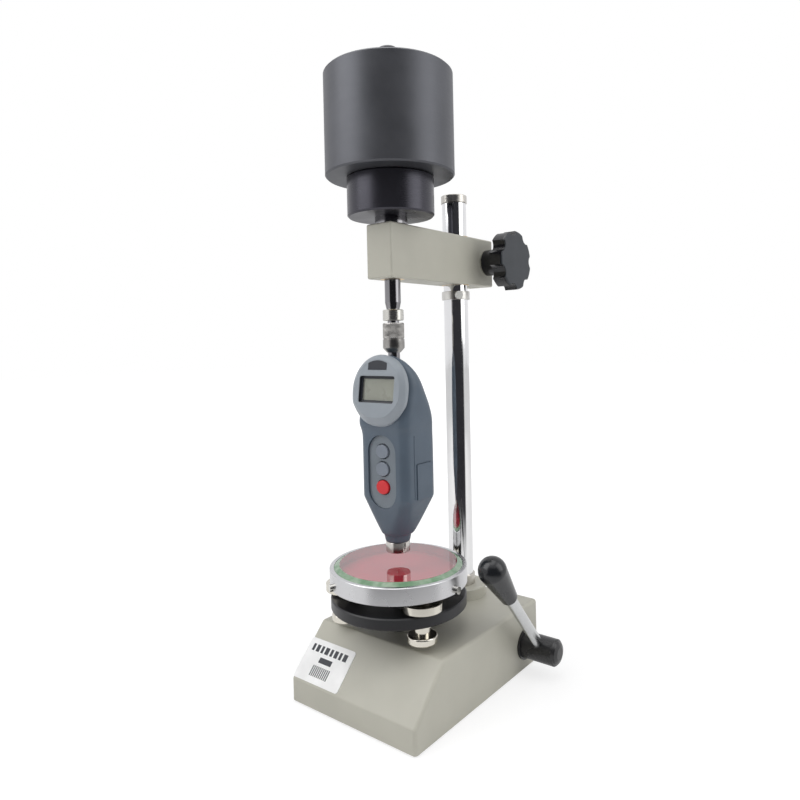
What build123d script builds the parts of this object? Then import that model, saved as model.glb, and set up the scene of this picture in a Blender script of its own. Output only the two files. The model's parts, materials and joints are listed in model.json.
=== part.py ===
from build123d import *
import math
import os

# A durometer on a lever-operated load stand: cast base, column, clamped arm,
# dead weights on a vertical spindle, a digital durometer and a levelled glass
# table that a hand lever raises by a pinion and rack. Millimetres, +Z up,
# origin at the middle of the base on the floor. +Y is the column side, and
# the durometer's display faces -Y.

# ---------------------------------------------------------------- dimensions
# Fits
run_gap = 0.05  # radial, between a moving shaft and its bore
seat_gap = 0.02  # radial, between pieces that are fixed together
air_gap = 0.3  # between bodies that pass close to each other

# Base casting
base_w = 115.0
base_d = 160.0
base_h = 49.0
nose_h = 17.2  # height of the upright front face
slope_run = 31.6  # depth of the sloping front
rim_h = 1.0  # casting rim above the floor
wall = 5.0
edge_r = 2.5

# Bottom cover, its screws and the feet
cover_z = 1.6
cover_t = 2.0
cover_gap = 0.5
cover_corner_r = 3.0
post_r = 4.5
post_inset_x = 11.5
post_inset_y = 12.0
cover_screw_r = 1.6
cover_screw_head_r = 3.3
cover_screw_head_t = 1.0
cover_screw_l = 11.0
foot_r = 9.0
foot_inset_x = 20.0
foot_inset_y = 24.0

# Column
column_inset = 24.0  # from the base's rear face
column_r = 10.0
column_foot_z = 30.0
column_over = 28.0  # above the arm
cap_r = 10.7
cap_h = 6.3
cap_pin_r = 4.0
cap_pin_l = 12.0
boss_r = 20.0
boss_h = 9.0
inner_boss_r = 16.0
collar_r = 11.4
collar_h = 8.5
column_bolt_r = 4.0
column_bolt_l = 22.0
column_bolt_flange_r = 11.5
column_bolt_flange_t = 2.0
column_bolt_head_af = 13.0
column_bolt_head_h = 4.5
stop_ring_r = 11.6
stop_gap = 5.3  # under the arm
stop_ring_h = 6.7
stop_screw_deg = 46.0  # from -Y towards +X
stop_screw_r = 1.2
stop_screw_head_r = 3.2
stop_screw_head_l = 2.6

# Arm and its clamp
arm_w = 24.0
arm_h = 40.0
arm_up = 257.0  # above the base
arm_front_over = 14.6  # ahead of the spindle axis
arm_rear_over = 39.5  # behind the column axis
arm_edge_r = 1.5
liner_t = 1.4
kerf_w = 2.0
clamp_behind = 30.0  # behind the column axis
clamp_stud_r = 4.0
clamp_washer_r = 11.0
clamp_washer_t = 1.2
clamp_hub_r = 11.0
clamp_hub_l = 16.5
clamp_head_r = 24.4
clamp_head_l = 12.0
clamp_head_edge = 2.0
clamp_lobes = 7
clamp_flute_r = 6.5
clamp_flute_depth = 4.2

# Spindle and weights
reach = 81.0  # from the column axis to the spindle axis
spindle_r = 5.9
spindle_bush_r = 9.0
spindle_shoulder_drop = 17.0  # these drops are below the arm
spindle_neck_r = 4.8
spindle_neck_drop = 22.0
spindle_thread_r = 4.3
spindle_thread_drop = 42.5
flange_r = 12.0
flange_h = 5.6
weight_pin_r = 5.0
weight_pin_l = 20.0
weight_pin_room = 0.6
small_weight_r = 32.0
small_weight_h = 29.1
upper_pin_l = 13.0
main_weight_r = 47.5
main_weight_h = 75.3
weight_chamfer = 1.2
knob_r = 7.8
knob_h = 19.5
knob_edge = 2.2
knob_stud_r = 4.0
knob_stud_l = 18.0

# Lock ring and coupling sleeve under the arm
lock_ring_r = 7.75
lock_ring_drop = 30.4  # these drops are below the arm
lock_ring_h = 8.1
sleeve_r = 8.0
sleeve_top_drop = 32.0
sleeve_cone_drop = 50.5
sleeve_bottom_drop = 53.8
sleeve_lip_r = 4.9
thread_play = 0.06

# Durometer; the heights ending in _up are above the presser foot's face
stub_r = 4.4
stub_top_drop = 43.5
stub_in = 10.5  # depth in the head
body_w = 45.0
body_front = 16.5  # from the spindle axis to the front face
body_rear = 21.0
body_corner_r = 8.0
body_low_up = 40.1
body_shoulder_up = 81.1
taper_low_up = 13.4
taper_low_r = 11.6
taper_rear_over = 1.2
neck_r = 10.2
neck_low_r = 9.0
neck_low_up = 7.6
bezel_half_w = 25.4
bezel_front = 21.2  # at the display's mid height
bezel_mid_up = 120.5
bezel_tilt = 8.0
bezel_t = 7.0
bezel_drop = 26.5  # from mid height down to the lower lip
bezel_corner_r = 19.5
bezel_edge_r = 2.2
head_back_l = 34.0
head_taper = 20.0
head_inset = 0.8
head_top_up = 140.6
head_arc_y = 12.0
head_arc_up = 115.1
head_front_step_up = 86.1
shell_wall = 2.5
front_wall = 5.0
cavity_below = 3.0  # under the straight body's lower end
cavity_top_up = 99.1
display_w = 33.0
display_h = 19.2
display_corner_r = 1.5
display_recess = 2.8
window_t = 1.0
panel_t = 1.6
badge_half_w = 8.8
badge_low = 14.0
badge_side_h = 4.9
badge_rise = 6.9
badge_t = 0.8
keypad_w = 26.0
keypad_below = 6.0
keypad_top_up = 87.1
keypad_sunk = 1.8
keypad_t = 1.8
keypad_lip = 2.5
button_half_w = 5.9
button_half_h = 5.0
button_hole_gap = 0.6
button_out = 1.5
button_dome = 0.6
button_flange = 1.2
button_flange_t = 1.0
button_up = (75.3, 62.6, 49.4)
side_cover_rise = 0.5
side_cover_top_up = 66.1
side_cover_front = -4.0  # from the spindle axis
side_cover_rear = 12.5
side_cover_out = 0.7
side_cover_t = 1.7
presser_r = 8.9
presser_drop = 200.1  # below the arm
presser_shank_r = 6.5
presser_shank_up = 20.1
needle_r = 1.5
needle_tip_r = 0.4
needle_out = 2.5
needle_cone_h = 1.6
piston_r = 3.5
piston_low_up = 6.6
piston_top_up = 17.1
guide_floor_up = 3.1
needle_rod_top_up = 44.1
spring_roof = 3.0
spring_in_r = 2.0
spring_out_r = 3.3
spring_disc_t = 0.5
spring_discs = 8
spring_bore_r = 4.3

# Table: levelling disc, tray, ring, glass
disc_r = 50.0
disc_gap = 18.1  # above the base
disc_t = 8.2
disc_chamfer = 0.8
tray_gap = 8.5  # above the levelling disc
tray_t = 5.6
tray_pin_r = 4.0
tray_pin_below = 10.1
ring_r = 50.6
ring_bore_r = 47.5
ring_h = 12.3
glass_gap = 0.2
backing_t = 1.0
glass_t = 7.6
glass_bevel_w = 4.0
glass_bevel_h = 2.0
ring_screw_start_deg = 2.0
ring_screw_r = 1.5
ring_screw_head_r = 2.6
ring_screw_head_l = 2.4
ring_screw_l = 5.0
level_pcd_r = 40.0
level_start_deg = 333.0
level_count = 3
level_screw_r = 5.5
level_pad_r = 14.5
level_pad_gap = 1.7
level_pad_t = 5.0
level_tip_r = 3.2
level_spigot_r = 4.0
level_knob_r = 10.5
level_knob_gap = 5.0
level_knob_h = 5.6
level_knob_edge = 1.2
level_bush_r = 6.6
level_bush_flange_r = 7.4
level_bush_flange_t = 1.4

# Lift stem, yoke and rack
stem_r = 9.0
stem_bush_r = 11.5
stem_bush_low_z = 22.0
stem_bush_sunk = 3.0
stem_boss_r = 15.5
stem_spigot_r = 6.8
stem_foot_r = 5.0
stem_bore_room = 5.0
yoke_z = 4.4
yoke_t = 3.0
yoke_pad_r = 13.0
yoke_arm_x = 21.6
yoke_arm_w = 16.8
rack_top_z = 28.4
rack_back_gap = 1.5

# Hand lever, pinion
lever_behind = 2.4  # behind the column axis
lever_z = 20.3
shaft_r = 5.0
shaft_in_x = 12.8
shaft_end_x = 83.0
bush_r = 7.0
bearing_in_x = 12.0
bearing_in_l = 7.5
bearing_out_l = 12.0
bearing_half_w = 10.0
bearing_under = 9.4
pinion_x = 26.0
pinion_l = 8.0
gear_module = 1.0
gear_teeth = 18
gear_addendum = 0.85
gear_dedendum = 1.25
gear_play = 0.15
pressure_deg = 20.0
rack_teeth = 6
slot_gap = 1.0
hub_r = 10.0
hub_l = 28.0
hub_flange_r = 11.6
hub_flange_t = 1.6
hub_edge = 1.0
hub_cap_r = 8.6
hub_cap_t = 2.2
rod_x = 72.0
rod_r = 4.25
rod_in = 5.6
rod_out = 79.0
lever_deg = 49.6  # above the horizontal, towards -Y
grip_start = 70.0
grip_start_r = 6.4
grip_start_edge = 2.6
grip_r = 10.25
grip_end = 115.0

# Label plate on the sloping front
label_left = 0.6
label_w = 44.5
label_h = 29.5
label_low = 1.2
label_t = 0.4
label_corner_r = 2.0

# ------------------------------------------------------------ derived values
half_w = base_w / 2
half_d = base_d / 2
column_y = half_d - column_inset
axis_y = column_y - reach
lever_y = column_y + lever_behind
clamp_y = column_y + clamp_behind
arm_front_y = axis_y - arm_front_over
arm_rear_y = column_y + arm_rear_over
ceiling_z = base_h - wall
cover_top_z = cover_z + cover_t
boss_top_z = base_h + boss_h
collar_top_z = boss_top_z + collar_h
arm_z = base_h + arm_up
arm_top_z = arm_z + arm_h
column_top_z = arm_top_z + column_over
stop_ring_z = arm_z - stop_ring_h - stop_gap
spindle_shoulder_z = arm_z - spindle_shoulder_drop
spindle_neck_z = arm_z - spindle_neck_drop
spindle_thread_z = arm_z - spindle_thread_drop
lock_ring_z = arm_z - lock_ring_drop
sleeve_top_z = arm_z - sleeve_top_drop
sleeve_cone_z = arm_z - sleeve_cone_drop
sleeve_bottom_z = arm_z - sleeve_bottom_drop
stub_top_z = arm_z - stub_top_drop
presser_low_z = arm_z - presser_drop
body_low_z = presser_low_z + body_low_up
body_shoulder_z = presser_low_z + body_shoulder_up
taper_low_z = presser_low_z + taper_low_up
neck_low_z = presser_low_z + neck_low_up
bezel_mid_z = presser_low_z + bezel_mid_up
head_top_z = presser_low_z + head_top_up
stub_bottom_z = head_top_z - stub_in
head_arc_z = presser_low_z + head_arc_up
head_front_step_z = presser_low_z + head_front_step_up
cavity_top_z = presser_low_z + cavity_top_up
keypad_top_z = presser_low_z + keypad_top_up
side_cover_top_z = presser_low_z + side_cover_top_up
presser_shank_z = presser_low_z + presser_shank_up
piston_low_z = presser_low_z + piston_low_up
piston_top_z = presser_low_z + piston_top_up
guide_floor_z = presser_low_z + guide_floor_up
needle_rod_top_z = presser_low_z + needle_rod_top_up
cavity_low_z = body_low_z - cavity_below
keypad_low_z = body_low_z - keypad_below
side_cover_low_z = body_low_z + side_cover_rise
spring_seat_z = cavity_low_z - spring_roof
button_z = [presser_low_z + up for up in button_up]
liner_r = column_r + run_gap + liner_t
clamp_z = arm_z + arm_h / 2
flange_top_z = arm_top_z + flange_h
small_top_z = flange_top_z + small_weight_h
main_top_z = small_top_z + main_weight_h
disc_z = base_h + disc_gap
disc_top_z = disc_z + disc_t
level_pad_z = disc_top_z + level_pad_gap
level_knob_z = base_h + level_knob_gap
tray_z = disc_top_z + tray_gap
tray_top_z = tray_z + tray_t
tray_pin_low_z = disc_z - tray_pin_below
stem_bore_low_z = tray_pin_low_z - stem_bore_room
stem_bush_top_z = base_h - stem_bush_sunk
backing_top_z = tray_top_z + backing_t
pitch_r = gear_module * gear_teeth / 2
pitch_step = math.pi * gear_module
rack_y = lever_y + pitch_r
rack_root_y = rack_y + gear_dedendum
rack_back_y = half_d - wall - rack_back_gap
body_mid_y = axis_y + (body_rear - body_front) / 2
body_d = body_front + body_rear
body_front_y = axis_y - body_front
hub_x = half_w + air_gap
hub_end_x = hub_x + hub_l
slope_angle = math.degrees(math.atan2(base_h - nose_h, slope_run))
level_degs = [level_start_deg + 360 / level_count * k for k in range(level_count)]

post_places = [
    (sx * (half_w - post_inset_x), sy * (half_d - post_inset_y)) for sx in (-1, 1) for sy in (-1, 1)
]
foot_places = [
    (sx * (half_w - foot_inset_x), sy * (half_d - foot_inset_y)) for sx in (-1, 1) for sy in (-1, 1)
]

bezel_plane = Plane(
    origin=(0, axis_y - bezel_front, bezel_mid_z),
    x_dir=(1, 0, 0),
    z_dir=(0, -math.cos(math.radians(bezel_tilt)), math.sin(math.radians(bezel_tilt))),
)
slope_plane = Plane(
    origin=(0, -half_d, nose_h),
    x_dir=(1, 0, 0),
    z_dir=(0, -math.sin(math.radians(slope_angle)), math.cos(math.radians(slope_angle))),
)
lever_dir = Vector(0, -math.cos(math.radians(lever_deg)), math.sin(math.radians(lever_deg)))
lever_origin = Vector(rod_x, lever_y, lever_z)
lever_plane = Plane(origin=lever_origin, x_dir=(1, 0, 0), z_dir=Vector(1, 0, 0).cross(lever_dir))
rod_plane = Plane(origin=lever_origin, x_dir=(1, 0, 0), z_dir=lever_dir)


# ------------------------------------------------------------------- helpers
def rod(x, y, r, z0, z1, mode=Mode.ADD):
    """A round bar or hole along Z from z0 to z1."""
    with BuildSketch(Plane.XY.offset(z0)) as section:
        with Locations((x, y)):
            Circle(r)
    extrude(section.sketch, amount=z1 - z0, mode=mode)


def rod_x_way(y, z, r, x0, x1, mode=Mode.ADD):
    """A round bar or hole along X from x0 to x1."""
    with BuildSketch(Plane.YZ.offset(x0)) as section:
        with Locations((y, z)):
            Circle(r)
    extrude(section.sketch, amount=x1 - x0, mode=mode)


def block(x0, x1, y0, y1, z0, z1, mode=Mode.ADD):
    """A rectangular block between the stated limits."""
    with BuildSketch(Plane.XY.offset(z0)) as section:
        with Locations(((x0 + x1) / 2, (y0 + y1) / 2)):
            Rectangle(x1 - x0, y1 - y0)
    extrude(section.sketch, amount=z1 - z0, mode=mode)


def turned(points, x, y, mode=Mode.ADD):
    """A solid of revolution about the vertical through (x, y), from (radius, z) points."""
    plane = Plane(origin=(x, y, 0), x_dir=(1, 0, 0), z_dir=(0, -1, 0))
    with BuildSketch(plane) as section:
        with BuildLine():
            Polyline(*points, close=True)
        make_face()
    revolve(section.sketch, axis=Axis((x, y, 0), (0, 0, 1)), mode=mode)


def turned_x_way(points, y, z, mode=Mode.ADD):
    """A solid of revolution about the line along X through (y, z), from (x, radius) points."""
    plane = Plane(origin=(0, y, z), x_dir=(1, 0, 0), z_dir=(0, 0, 1))
    with BuildSketch(plane) as section:
        with BuildLine():
            Polyline(*points, close=True)
        make_face()
    revolve(section.sketch, axis=Axis((0, y, z), (1, 0, 0)), mode=mode)


def polar(radius, degrees):
    """A place at this radius and angle from +X about the table's axis."""
    turn = math.radians(degrees)
    return radius * math.cos(turn), axis_y + radius * math.sin(turn)


def arch(half_width, drop, corner_r):
    """The durometer head's outline: a half circle on straight sides with a rounded lower lip."""
    side = drop - corner_r
    with BuildLine() as outline:
        ThreePointArc((-half_width, 0), (0, half_width), (half_width, 0))
        Line((half_width, 0), (half_width, -side))
        RadiusArc((half_width, -side), (half_width - corner_r, -drop), corner_r)
        Line((half_width - corner_r, -drop), (corner_r - half_width, -drop))
        RadiusArc((corner_r - half_width, -drop), (-half_width, -side), corner_r)
        Line((-half_width, -side), (-half_width, 0))
    make_face(outline.edges())


def radial_plane(radius, degrees, z, x, y):
    """A plane across a radius from (x, y), facing outwards."""
    turn = math.radians(degrees)
    out = (math.cos(turn), math.sin(turn), 0)
    place = (x + radius * out[0], y + radius * out[1], z)
    return Plane(origin=place, x_dir=(-out[1], out[0], 0), z_dir=out)


def involute(angle):
    return math.tan(angle) - angle


def tooth_half_angle(radius, half_thickness_angle):
    """Half the angle that an involute tooth fills at a radius."""
    pressure = math.radians(pressure_deg)
    base_radius = pitch_r * math.cos(pressure)
    local = math.acos(min(1.0, base_radius / radius))
    return half_thickness_angle + involute(pressure) - involute(local)


def slope_z(y):
    """Height of the outer sloping face above a depth."""
    return nose_h + (y + half_d) * (base_h - nose_h) / slope_run


def save(builder, name):
    builder.part.label = name
    export_step(builder.part, f"parts/{name}.step")


os.makedirs("parts", exist_ok=True)

# ----------------------------------------------------------------- the stand
# Base casting: a wedge-nosed hollow box with, underneath, the column's inner
# boss, the stem's guide boss, two bearings for the lever shaft and four posts
# for the cover.
nose = [(-half_d, nose_h), (slope_run - half_d, base_h), (half_d, base_h)]
with BuildPart() as base_casting:
    with BuildSketch(Plane.YZ):
        with BuildLine():
            Polyline((half_d, rim_h), (-half_d, rim_h), *nose, close=True)
        make_face()
    extrude(amount=half_w, both=True)
    fillet(base_casting.edges().filter_by(lambda e: e.center().Z > rim_h + 0.1), edge_r)
    with BuildSketch(Plane.YZ):
        with BuildLine():
            Polyline((half_d, -2 * wall), (-half_d, -2 * wall), *nose, close=True)
        make_face()
        offset(amount=-wall, kind=Kind.INTERSECTION, mode=Mode.REPLACE)
    extrude(amount=half_w - wall, both=True, mode=Mode.SUBTRACT)
    rod(0, column_y, inner_boss_r, column_foot_z, ceiling_z + wall / 2)
    rod(0, axis_y, stem_boss_r, stem_bush_low_z, ceiling_z + wall / 2)
    block(
        bearing_in_x,
        bearing_in_x + bearing_in_l,
        lever_y - bearing_half_w,
        lever_y + bearing_half_w,
        lever_z - bearing_under,
        ceiling_z + wall / 2,
    )
    rod_x_way(lever_y, lever_z, bearing_half_w, half_w - bearing_out_l, half_w - wall / 2)
    for px, py in post_places:
        rod(px, py, post_r, cover_top_z, min(ceiling_z + wall / 2, slope_z(py) - wall))
    rod(0, column_y, column_r + seat_gap, column_foot_z, base_h, Mode.SUBTRACT)
    rod(0, axis_y, stem_bush_r + seat_gap, stem_bush_low_z, stem_bush_top_z, Mode.SUBTRACT)
    rod(0, axis_y, stem_r + air_gap, stem_bush_top_z, base_h, Mode.SUBTRACT)
    rod_x_way(lever_y, lever_z, bush_r + seat_gap, bearing_in_x, half_w, Mode.SUBTRACT)
    for px, py in post_places:
        rod(px, py, cover_screw_r + seat_gap, cover_top_z, cover_z + cover_screw_l + 1, Mode.SUBTRACT)
save(base_casting, "base_casting")

# Bottom cover with counterbored screw holes
with BuildPart() as base_cover:
    with BuildSketch(Plane.XY.offset(cover_z)):
        RectangleRounded(
            base_w - 2 * (wall + cover_gap), base_d - 2 * (wall + cover_gap), cover_corner_r
        )
    extrude(amount=cover_t)
    for px, py in post_places:
        rod(px, py, cover_screw_head_r + air_gap, cover_z, cover_z + cover_screw_head_t, Mode.SUBTRACT)
        rod(px, py, cover_screw_r + seat_gap, cover_z, cover_top_z, Mode.SUBTRACT)
save(base_cover, "base_cover")

with BuildPart() as cover_screws:
    for px, py in post_places:
        rod(px, py, cover_screw_head_r, cover_z, cover_z + cover_screw_head_t)
        rod(px, py, cover_screw_r, cover_z, cover_z + cover_screw_l)
save(cover_screws, "cover_screws")

with BuildPart() as rubber_feet:
    for px, py in foot_places:
        rod(px, py, foot_r, 0, cover_z)
save(rubber_feet, "rubber_feet")

# Column: a ground bar, drilled at the top for the cap and tapped underneath
with BuildPart() as column:
    rod(0, column_y, column_r, column_foot_z, column_top_z)
    chamfer(column.edges().group_by(Axis.Z)[-1], seat_gap * 25)
    rod(0, column_y, cap_pin_r + seat_gap, column_top_z - cap_pin_l - 1, column_top_z, Mode.SUBTRACT)
    bolt_room_z = column_foot_z + column_bolt_l - column_bolt_flange_t + 1
    rod(0, column_y, column_bolt_r + seat_gap, column_foot_z, bolt_room_z, Mode.SUBTRACT)
save(column, "column")

with BuildPart() as column_cap:
    rod(0, column_y, cap_r, column_top_z, column_top_z + cap_h)
    fillet(column_cap.edges().group_by(Axis.Z)[-1], 0.8)
    rod(0, column_y, cap_pin_r, column_top_z - cap_pin_l, column_top_z)
save(column_cap, "column_cap")

with BuildPart() as column_boss:
    rod(0, column_y, boss_r, base_h, boss_top_z)
    chamfer(column_boss.edges().group_by(Axis.Z)[-1], 0.8)
    rod(0, column_y, column_r + seat_gap, base_h, boss_top_z, Mode.SUBTRACT)
save(column_boss, "column_boss")

with BuildPart() as column_collar:
    rod(0, column_y, collar_r, boss_top_z, collar_top_z)
    chamfer(column_collar.edges().group_by(Axis.Z)[-1], 0.4)
    rod(0, column_y, column_r + seat_gap, boss_top_z, collar_top_z, Mode.SUBTRACT)
save(column_collar, "column_collar")

with BuildPart() as column_bolt:
    rod(0, column_y, column_bolt_flange_r, column_foot_z - column_bolt_flange_t, column_foot_z)
    head_z = column_foot_z - column_bolt_flange_t - column_bolt_head_h
    with BuildSketch(Plane.XY.offset(head_z)):
        with Locations((0, column_y)):
            RegularPolygon(column_bolt_head_af / 2, 6, major_radius=False)
    extrude(amount=column_bolt_head_h)
    rod(0, column_y, column_bolt_r, column_foot_z, column_foot_z + column_bolt_l - column_bolt_flange_t)
save(column_bolt, "column_bolt")

with BuildPart() as stem_bush:
    rod(0, axis_y, stem_bush_r, stem_bush_low_z, stem_bush_top_z)
    rod(0, axis_y, stem_r + run_gap, stem_bush_low_z, stem_bush_top_z, Mode.SUBTRACT)
save(stem_bush, "stem_bush")

with BuildPart() as shaft_bushes:
    for x0, x1 in ((bearing_in_x, bearing_in_x + bearing_in_l), (half_w - bearing_out_l, half_w)):
        rod_x_way(lever_y, lever_z, bush_r, x0, x1)
        rod_x_way(lever_y, lever_z, shaft_r + run_gap, x0, x1, Mode.SUBTRACT)
save(shaft_bushes, "shaft_bushes")

with BuildPart() as label_plate:
    with BuildSketch(slope_plane):
        with Locations((label_left + label_w / 2 - half_w, label_low + label_h / 2)):
            RectangleRounded(label_w, label_h, label_corner_r)
    extrude(amount=label_t)
save(label_plate, "label_plate")

# ------------------------------------------------------------ the hand lever
with BuildPart() as lever_shaft:
    rod_x_way(lever_y, lever_z, shaft_r, shaft_in_x, shaft_end_x)
save(lever_shaft, "lever_shaft")

# Pinion: a tooth space points at the rack when the lever is at rest
tooth_angle = (pitch_step / 2 - gear_play) / (2 * pitch_r)
root_r = pitch_r - gear_dedendum
tip_r = pitch_r + gear_addendum
base_circle_r = pitch_r * math.cos(math.radians(pressure_deg))
with BuildPart() as pinion:
    rod_x_way(lever_y, lever_z, root_r, pinion_x, pinion_x + pinion_l)
    with BuildSketch(Plane.YZ.offset(pinion_x)):
        for tooth in range(gear_teeth):
            middle = (tooth + 0.5) * 2 * math.pi / gear_teeth
            flank = []
            for radius in (root_r - 0.5, base_circle_r, pitch_r - 0.2, pitch_r + 0.4, tip_r):
                half = tooth_half_angle(max(radius, base_circle_r), tooth_angle)
                flank.append((radius, half))
            points = [(r, middle - a) for r, a in flank] + [(r, middle + a) for r, a in reversed(flank)]
            with BuildLine():
                Polyline(
                    *[(lever_y + r * math.cos(a), lever_z + r * math.sin(a)) for r, a in points],
                    close=True,
                )
            make_face()
    extrude(amount=pinion_l)
    rod_x_way(lever_y, lever_z, shaft_r + seat_gap, pinion_x, pinion_x + pinion_l, Mode.SUBTRACT)
save(pinion, "pinion")

with BuildPart() as lever_hub:
    turned_x_way(
        [
            (hub_x, 0),
            (hub_x, hub_flange_r),
            (hub_x + hub_flange_t, hub_flange_r),
            (hub_x + hub_flange_t, hub_r),
            (hub_end_x - hub_edge, hub_r),
            (hub_end_x, hub_r - hub_edge),
            (hub_end_x, hub_cap_r),
            (hub_end_x + hub_cap_t * 0.5, hub_cap_r * 0.9),
            (hub_end_x + hub_cap_t, hub_cap_r * 0.55),
            (hub_end_x + hub_cap_t, 0),
        ],
        lever_y,
        lever_z,
    )
    rod_x_way(lever_y, lever_z, shaft_r + seat_gap, hub_x, shaft_end_x + 0.5, Mode.SUBTRACT)
    with BuildSketch(rod_plane.offset(rod_in - 0.4)):
        Circle(rod_r + seat_gap)
    extrude(amount=hub_r, mode=Mode.SUBTRACT)
save(lever_hub, "lever_hub")

with BuildPart() as lever_rod:
    with BuildSketch(rod_plane.offset(rod_in)):
        Circle(rod_r)
    extrude(amount=rod_out - rod_in)
save(lever_rod, "lever_rod")

# Grip: a long cone closed by a ball end
dome_z = grip_end - grip_r
dome_mid = grip_r * math.sqrt(0.5)
with BuildPart() as lever_grip:
    with BuildSketch(lever_plane):
        with BuildLine():
            Line((0, grip_start), (grip_start_r - grip_start_edge, grip_start))
            RadiusArc(
                (grip_start_r - grip_start_edge, grip_start),
                (grip_start_r, grip_start + grip_start_edge),
                -grip_start_edge,
            )
            Line((grip_start_r, grip_start + grip_start_edge), (grip_r, dome_z))
            ThreePointArc((grip_r, dome_z), (dome_mid, dome_z + dome_mid), (0, grip_end))
            Line((0, grip_end), (0, grip_start))
        make_face()
    revolve(axis=Axis(tuple(lever_origin), tuple(lever_dir)))
    with BuildSketch(rod_plane.offset(grip_start)):
        Circle(rod_r + seat_gap)
    extrude(amount=rod_out - grip_start + 0.5, mode=Mode.SUBTRACT)
save(lever_grip, "lever_grip")

# ------------------------------------------------------- the lift and its disc
with BuildPart() as lift_stem:
    rod(0, axis_y, stem_foot_r, yoke_z, yoke_z + yoke_t)
    rod(0, axis_y, stem_r, yoke_z + yoke_t, disc_z)
    rod(0, axis_y, stem_spigot_r, disc_z, disc_top_z)
    rod(0, axis_y, tray_pin_r + run_gap, stem_bore_low_z, disc_top_z, Mode.SUBTRACT)
save(lift_stem, "lift_stem")

# Yoke: a flat plate from the stem's foot, passing under the lever shaft, with
# a slot round the pinion and the rack standing behind it.
yoke_end_x = yoke_arm_x + yoke_arm_w
rack_x0 = pinion_x - slot_gap
rack_x1 = pinion_x + pinion_l + slot_gap
with BuildPart() as rack_yoke:
    rod(0, axis_y, yoke_pad_r, yoke_z, yoke_z + yoke_t)
    block(0, yoke_end_x, axis_y - yoke_pad_r, axis_y + yoke_pad_r, yoke_z, yoke_z + yoke_t)
    block(yoke_arm_x, yoke_end_x, axis_y - yoke_pad_r, rack_back_y, yoke_z, yoke_z + yoke_t)
    block(
        rack_x0,
        rack_x1,
        lever_y - tip_r - slot_gap,
        rack_root_y,
        yoke_z,
        yoke_z + yoke_t,
        Mode.SUBTRACT,
    )
    rod(0, axis_y, stem_foot_r + seat_gap, yoke_z, yoke_z + yoke_t, Mode.SUBTRACT)
    block(rack_x0, rack_x1, rack_root_y, rack_back_y, yoke_z, rack_top_z)
    pressure_slope = math.tan(math.radians(pressure_deg))
    pitch_half = pitch_step / 4 - gear_play / 2
    with BuildSketch(Plane.YZ.offset(rack_x0)):
        for tooth in range(rack_teeth):
            mid_z = lever_z + (tooth - rack_teeth // 2) * pitch_step
            root_half = pitch_half + gear_dedendum * pressure_slope
            tip_half = pitch_half - gear_addendum * pressure_slope
            with BuildLine():
                Polyline(
                    (rack_root_y + 0.2, mid_z - root_half),
                    (rack_root_y, mid_z - root_half),
                    (rack_y - gear_addendum, mid_z - tip_half),
                    (rack_y - gear_addendum, mid_z + tip_half),
                    (rack_root_y, mid_z + root_half),
                    (rack_root_y + 0.2, mid_z + root_half),
                    close=True,
                )
            make_face()
    extrude(amount=rack_x1 - rack_x0)
save(rack_yoke, "rack_yoke")

with BuildPart() as level_disc:
    rod(0, axis_y, disc_r, disc_z, disc_top_z)
    chamfer(level_disc.edges(), disc_chamfer)
    rod(0, axis_y, stem_spigot_r + seat_gap, disc_z, disc_top_z, Mode.SUBTRACT)
    for degrees in level_degs:
        lx, ly = polar(level_pcd_r, degrees)
        rod(lx, ly, level_bush_r + seat_gap, disc_z, disc_top_z, Mode.SUBTRACT)
save(level_disc, "level_disc")

with BuildPart() as level_bushes:
    for degrees in level_degs:
        lx, ly = polar(level_pcd_r, degrees)
        rod(lx, ly, level_bush_r, disc_z, disc_top_z)
        rod(lx, ly, level_bush_flange_r, disc_z - level_bush_flange_t, disc_z)
        rod(lx, ly, level_screw_r + run_gap, disc_z - level_bush_flange_t, disc_top_z, Mode.SUBTRACT)
save(level_bushes, "level_bushes")

# Levelling screws: pad on top, knob pressed on the lower spigot
for number, degrees in enumerate(level_degs, start=1):
    lx, ly = polar(level_pcd_r, degrees)
    with BuildPart() as level_screw:
        rod(lx, ly, level_spigot_r, level_knob_z, level_knob_z + level_knob_h)
        rod(lx, ly, level_screw_r, level_knob_z + level_knob_h, level_pad_z)
        turned(
            [
                (0, level_pad_z),
                (level_pad_r, level_pad_z),
                (level_pad_r, level_pad_z + level_pad_t),
                (level_tip_r + tray_z - level_pad_z - level_pad_t, level_pad_z + level_pad_t),
                (level_tip_r, tray_z),
                (0, tray_z),
            ],
            lx,
            ly,
        )
    save(level_screw, f"level_screw_{number}")
    with BuildPart() as level_knob:
        rod(lx, ly, level_knob_r, level_knob_z, level_knob_z + level_knob_h)
        fillet(level_knob.edges(), level_knob_edge)
        rod(lx, ly, level_spigot_r + seat_gap, level_knob_z, level_knob_z + level_knob_h, Mode.SUBTRACT)
    save(level_knob, f"level_knob_{number}")

# ------------------------------------------------------------ tray and glass
ring_screw_z = tray_z + tray_t / 2
ring_degs = [ring_screw_start_deg + 120 * k for k in range(3)]
with BuildPart() as tray_plate:
    rod(0, axis_y, ring_bore_r - glass_gap, tray_z, tray_top_z)
    rod(0, axis_y, tray_pin_r, tray_pin_low_z, tray_z)
    for degrees in ring_degs:
        with BuildSketch(radial_plane(ring_r - ring_screw_l - 1, degrees, ring_screw_z, 0, axis_y)):
            Circle(ring_screw_r + seat_gap)
        extrude(amount=ring_screw_l + 1, mode=Mode.SUBTRACT)
save(tray_plate, "tray_plate")

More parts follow.
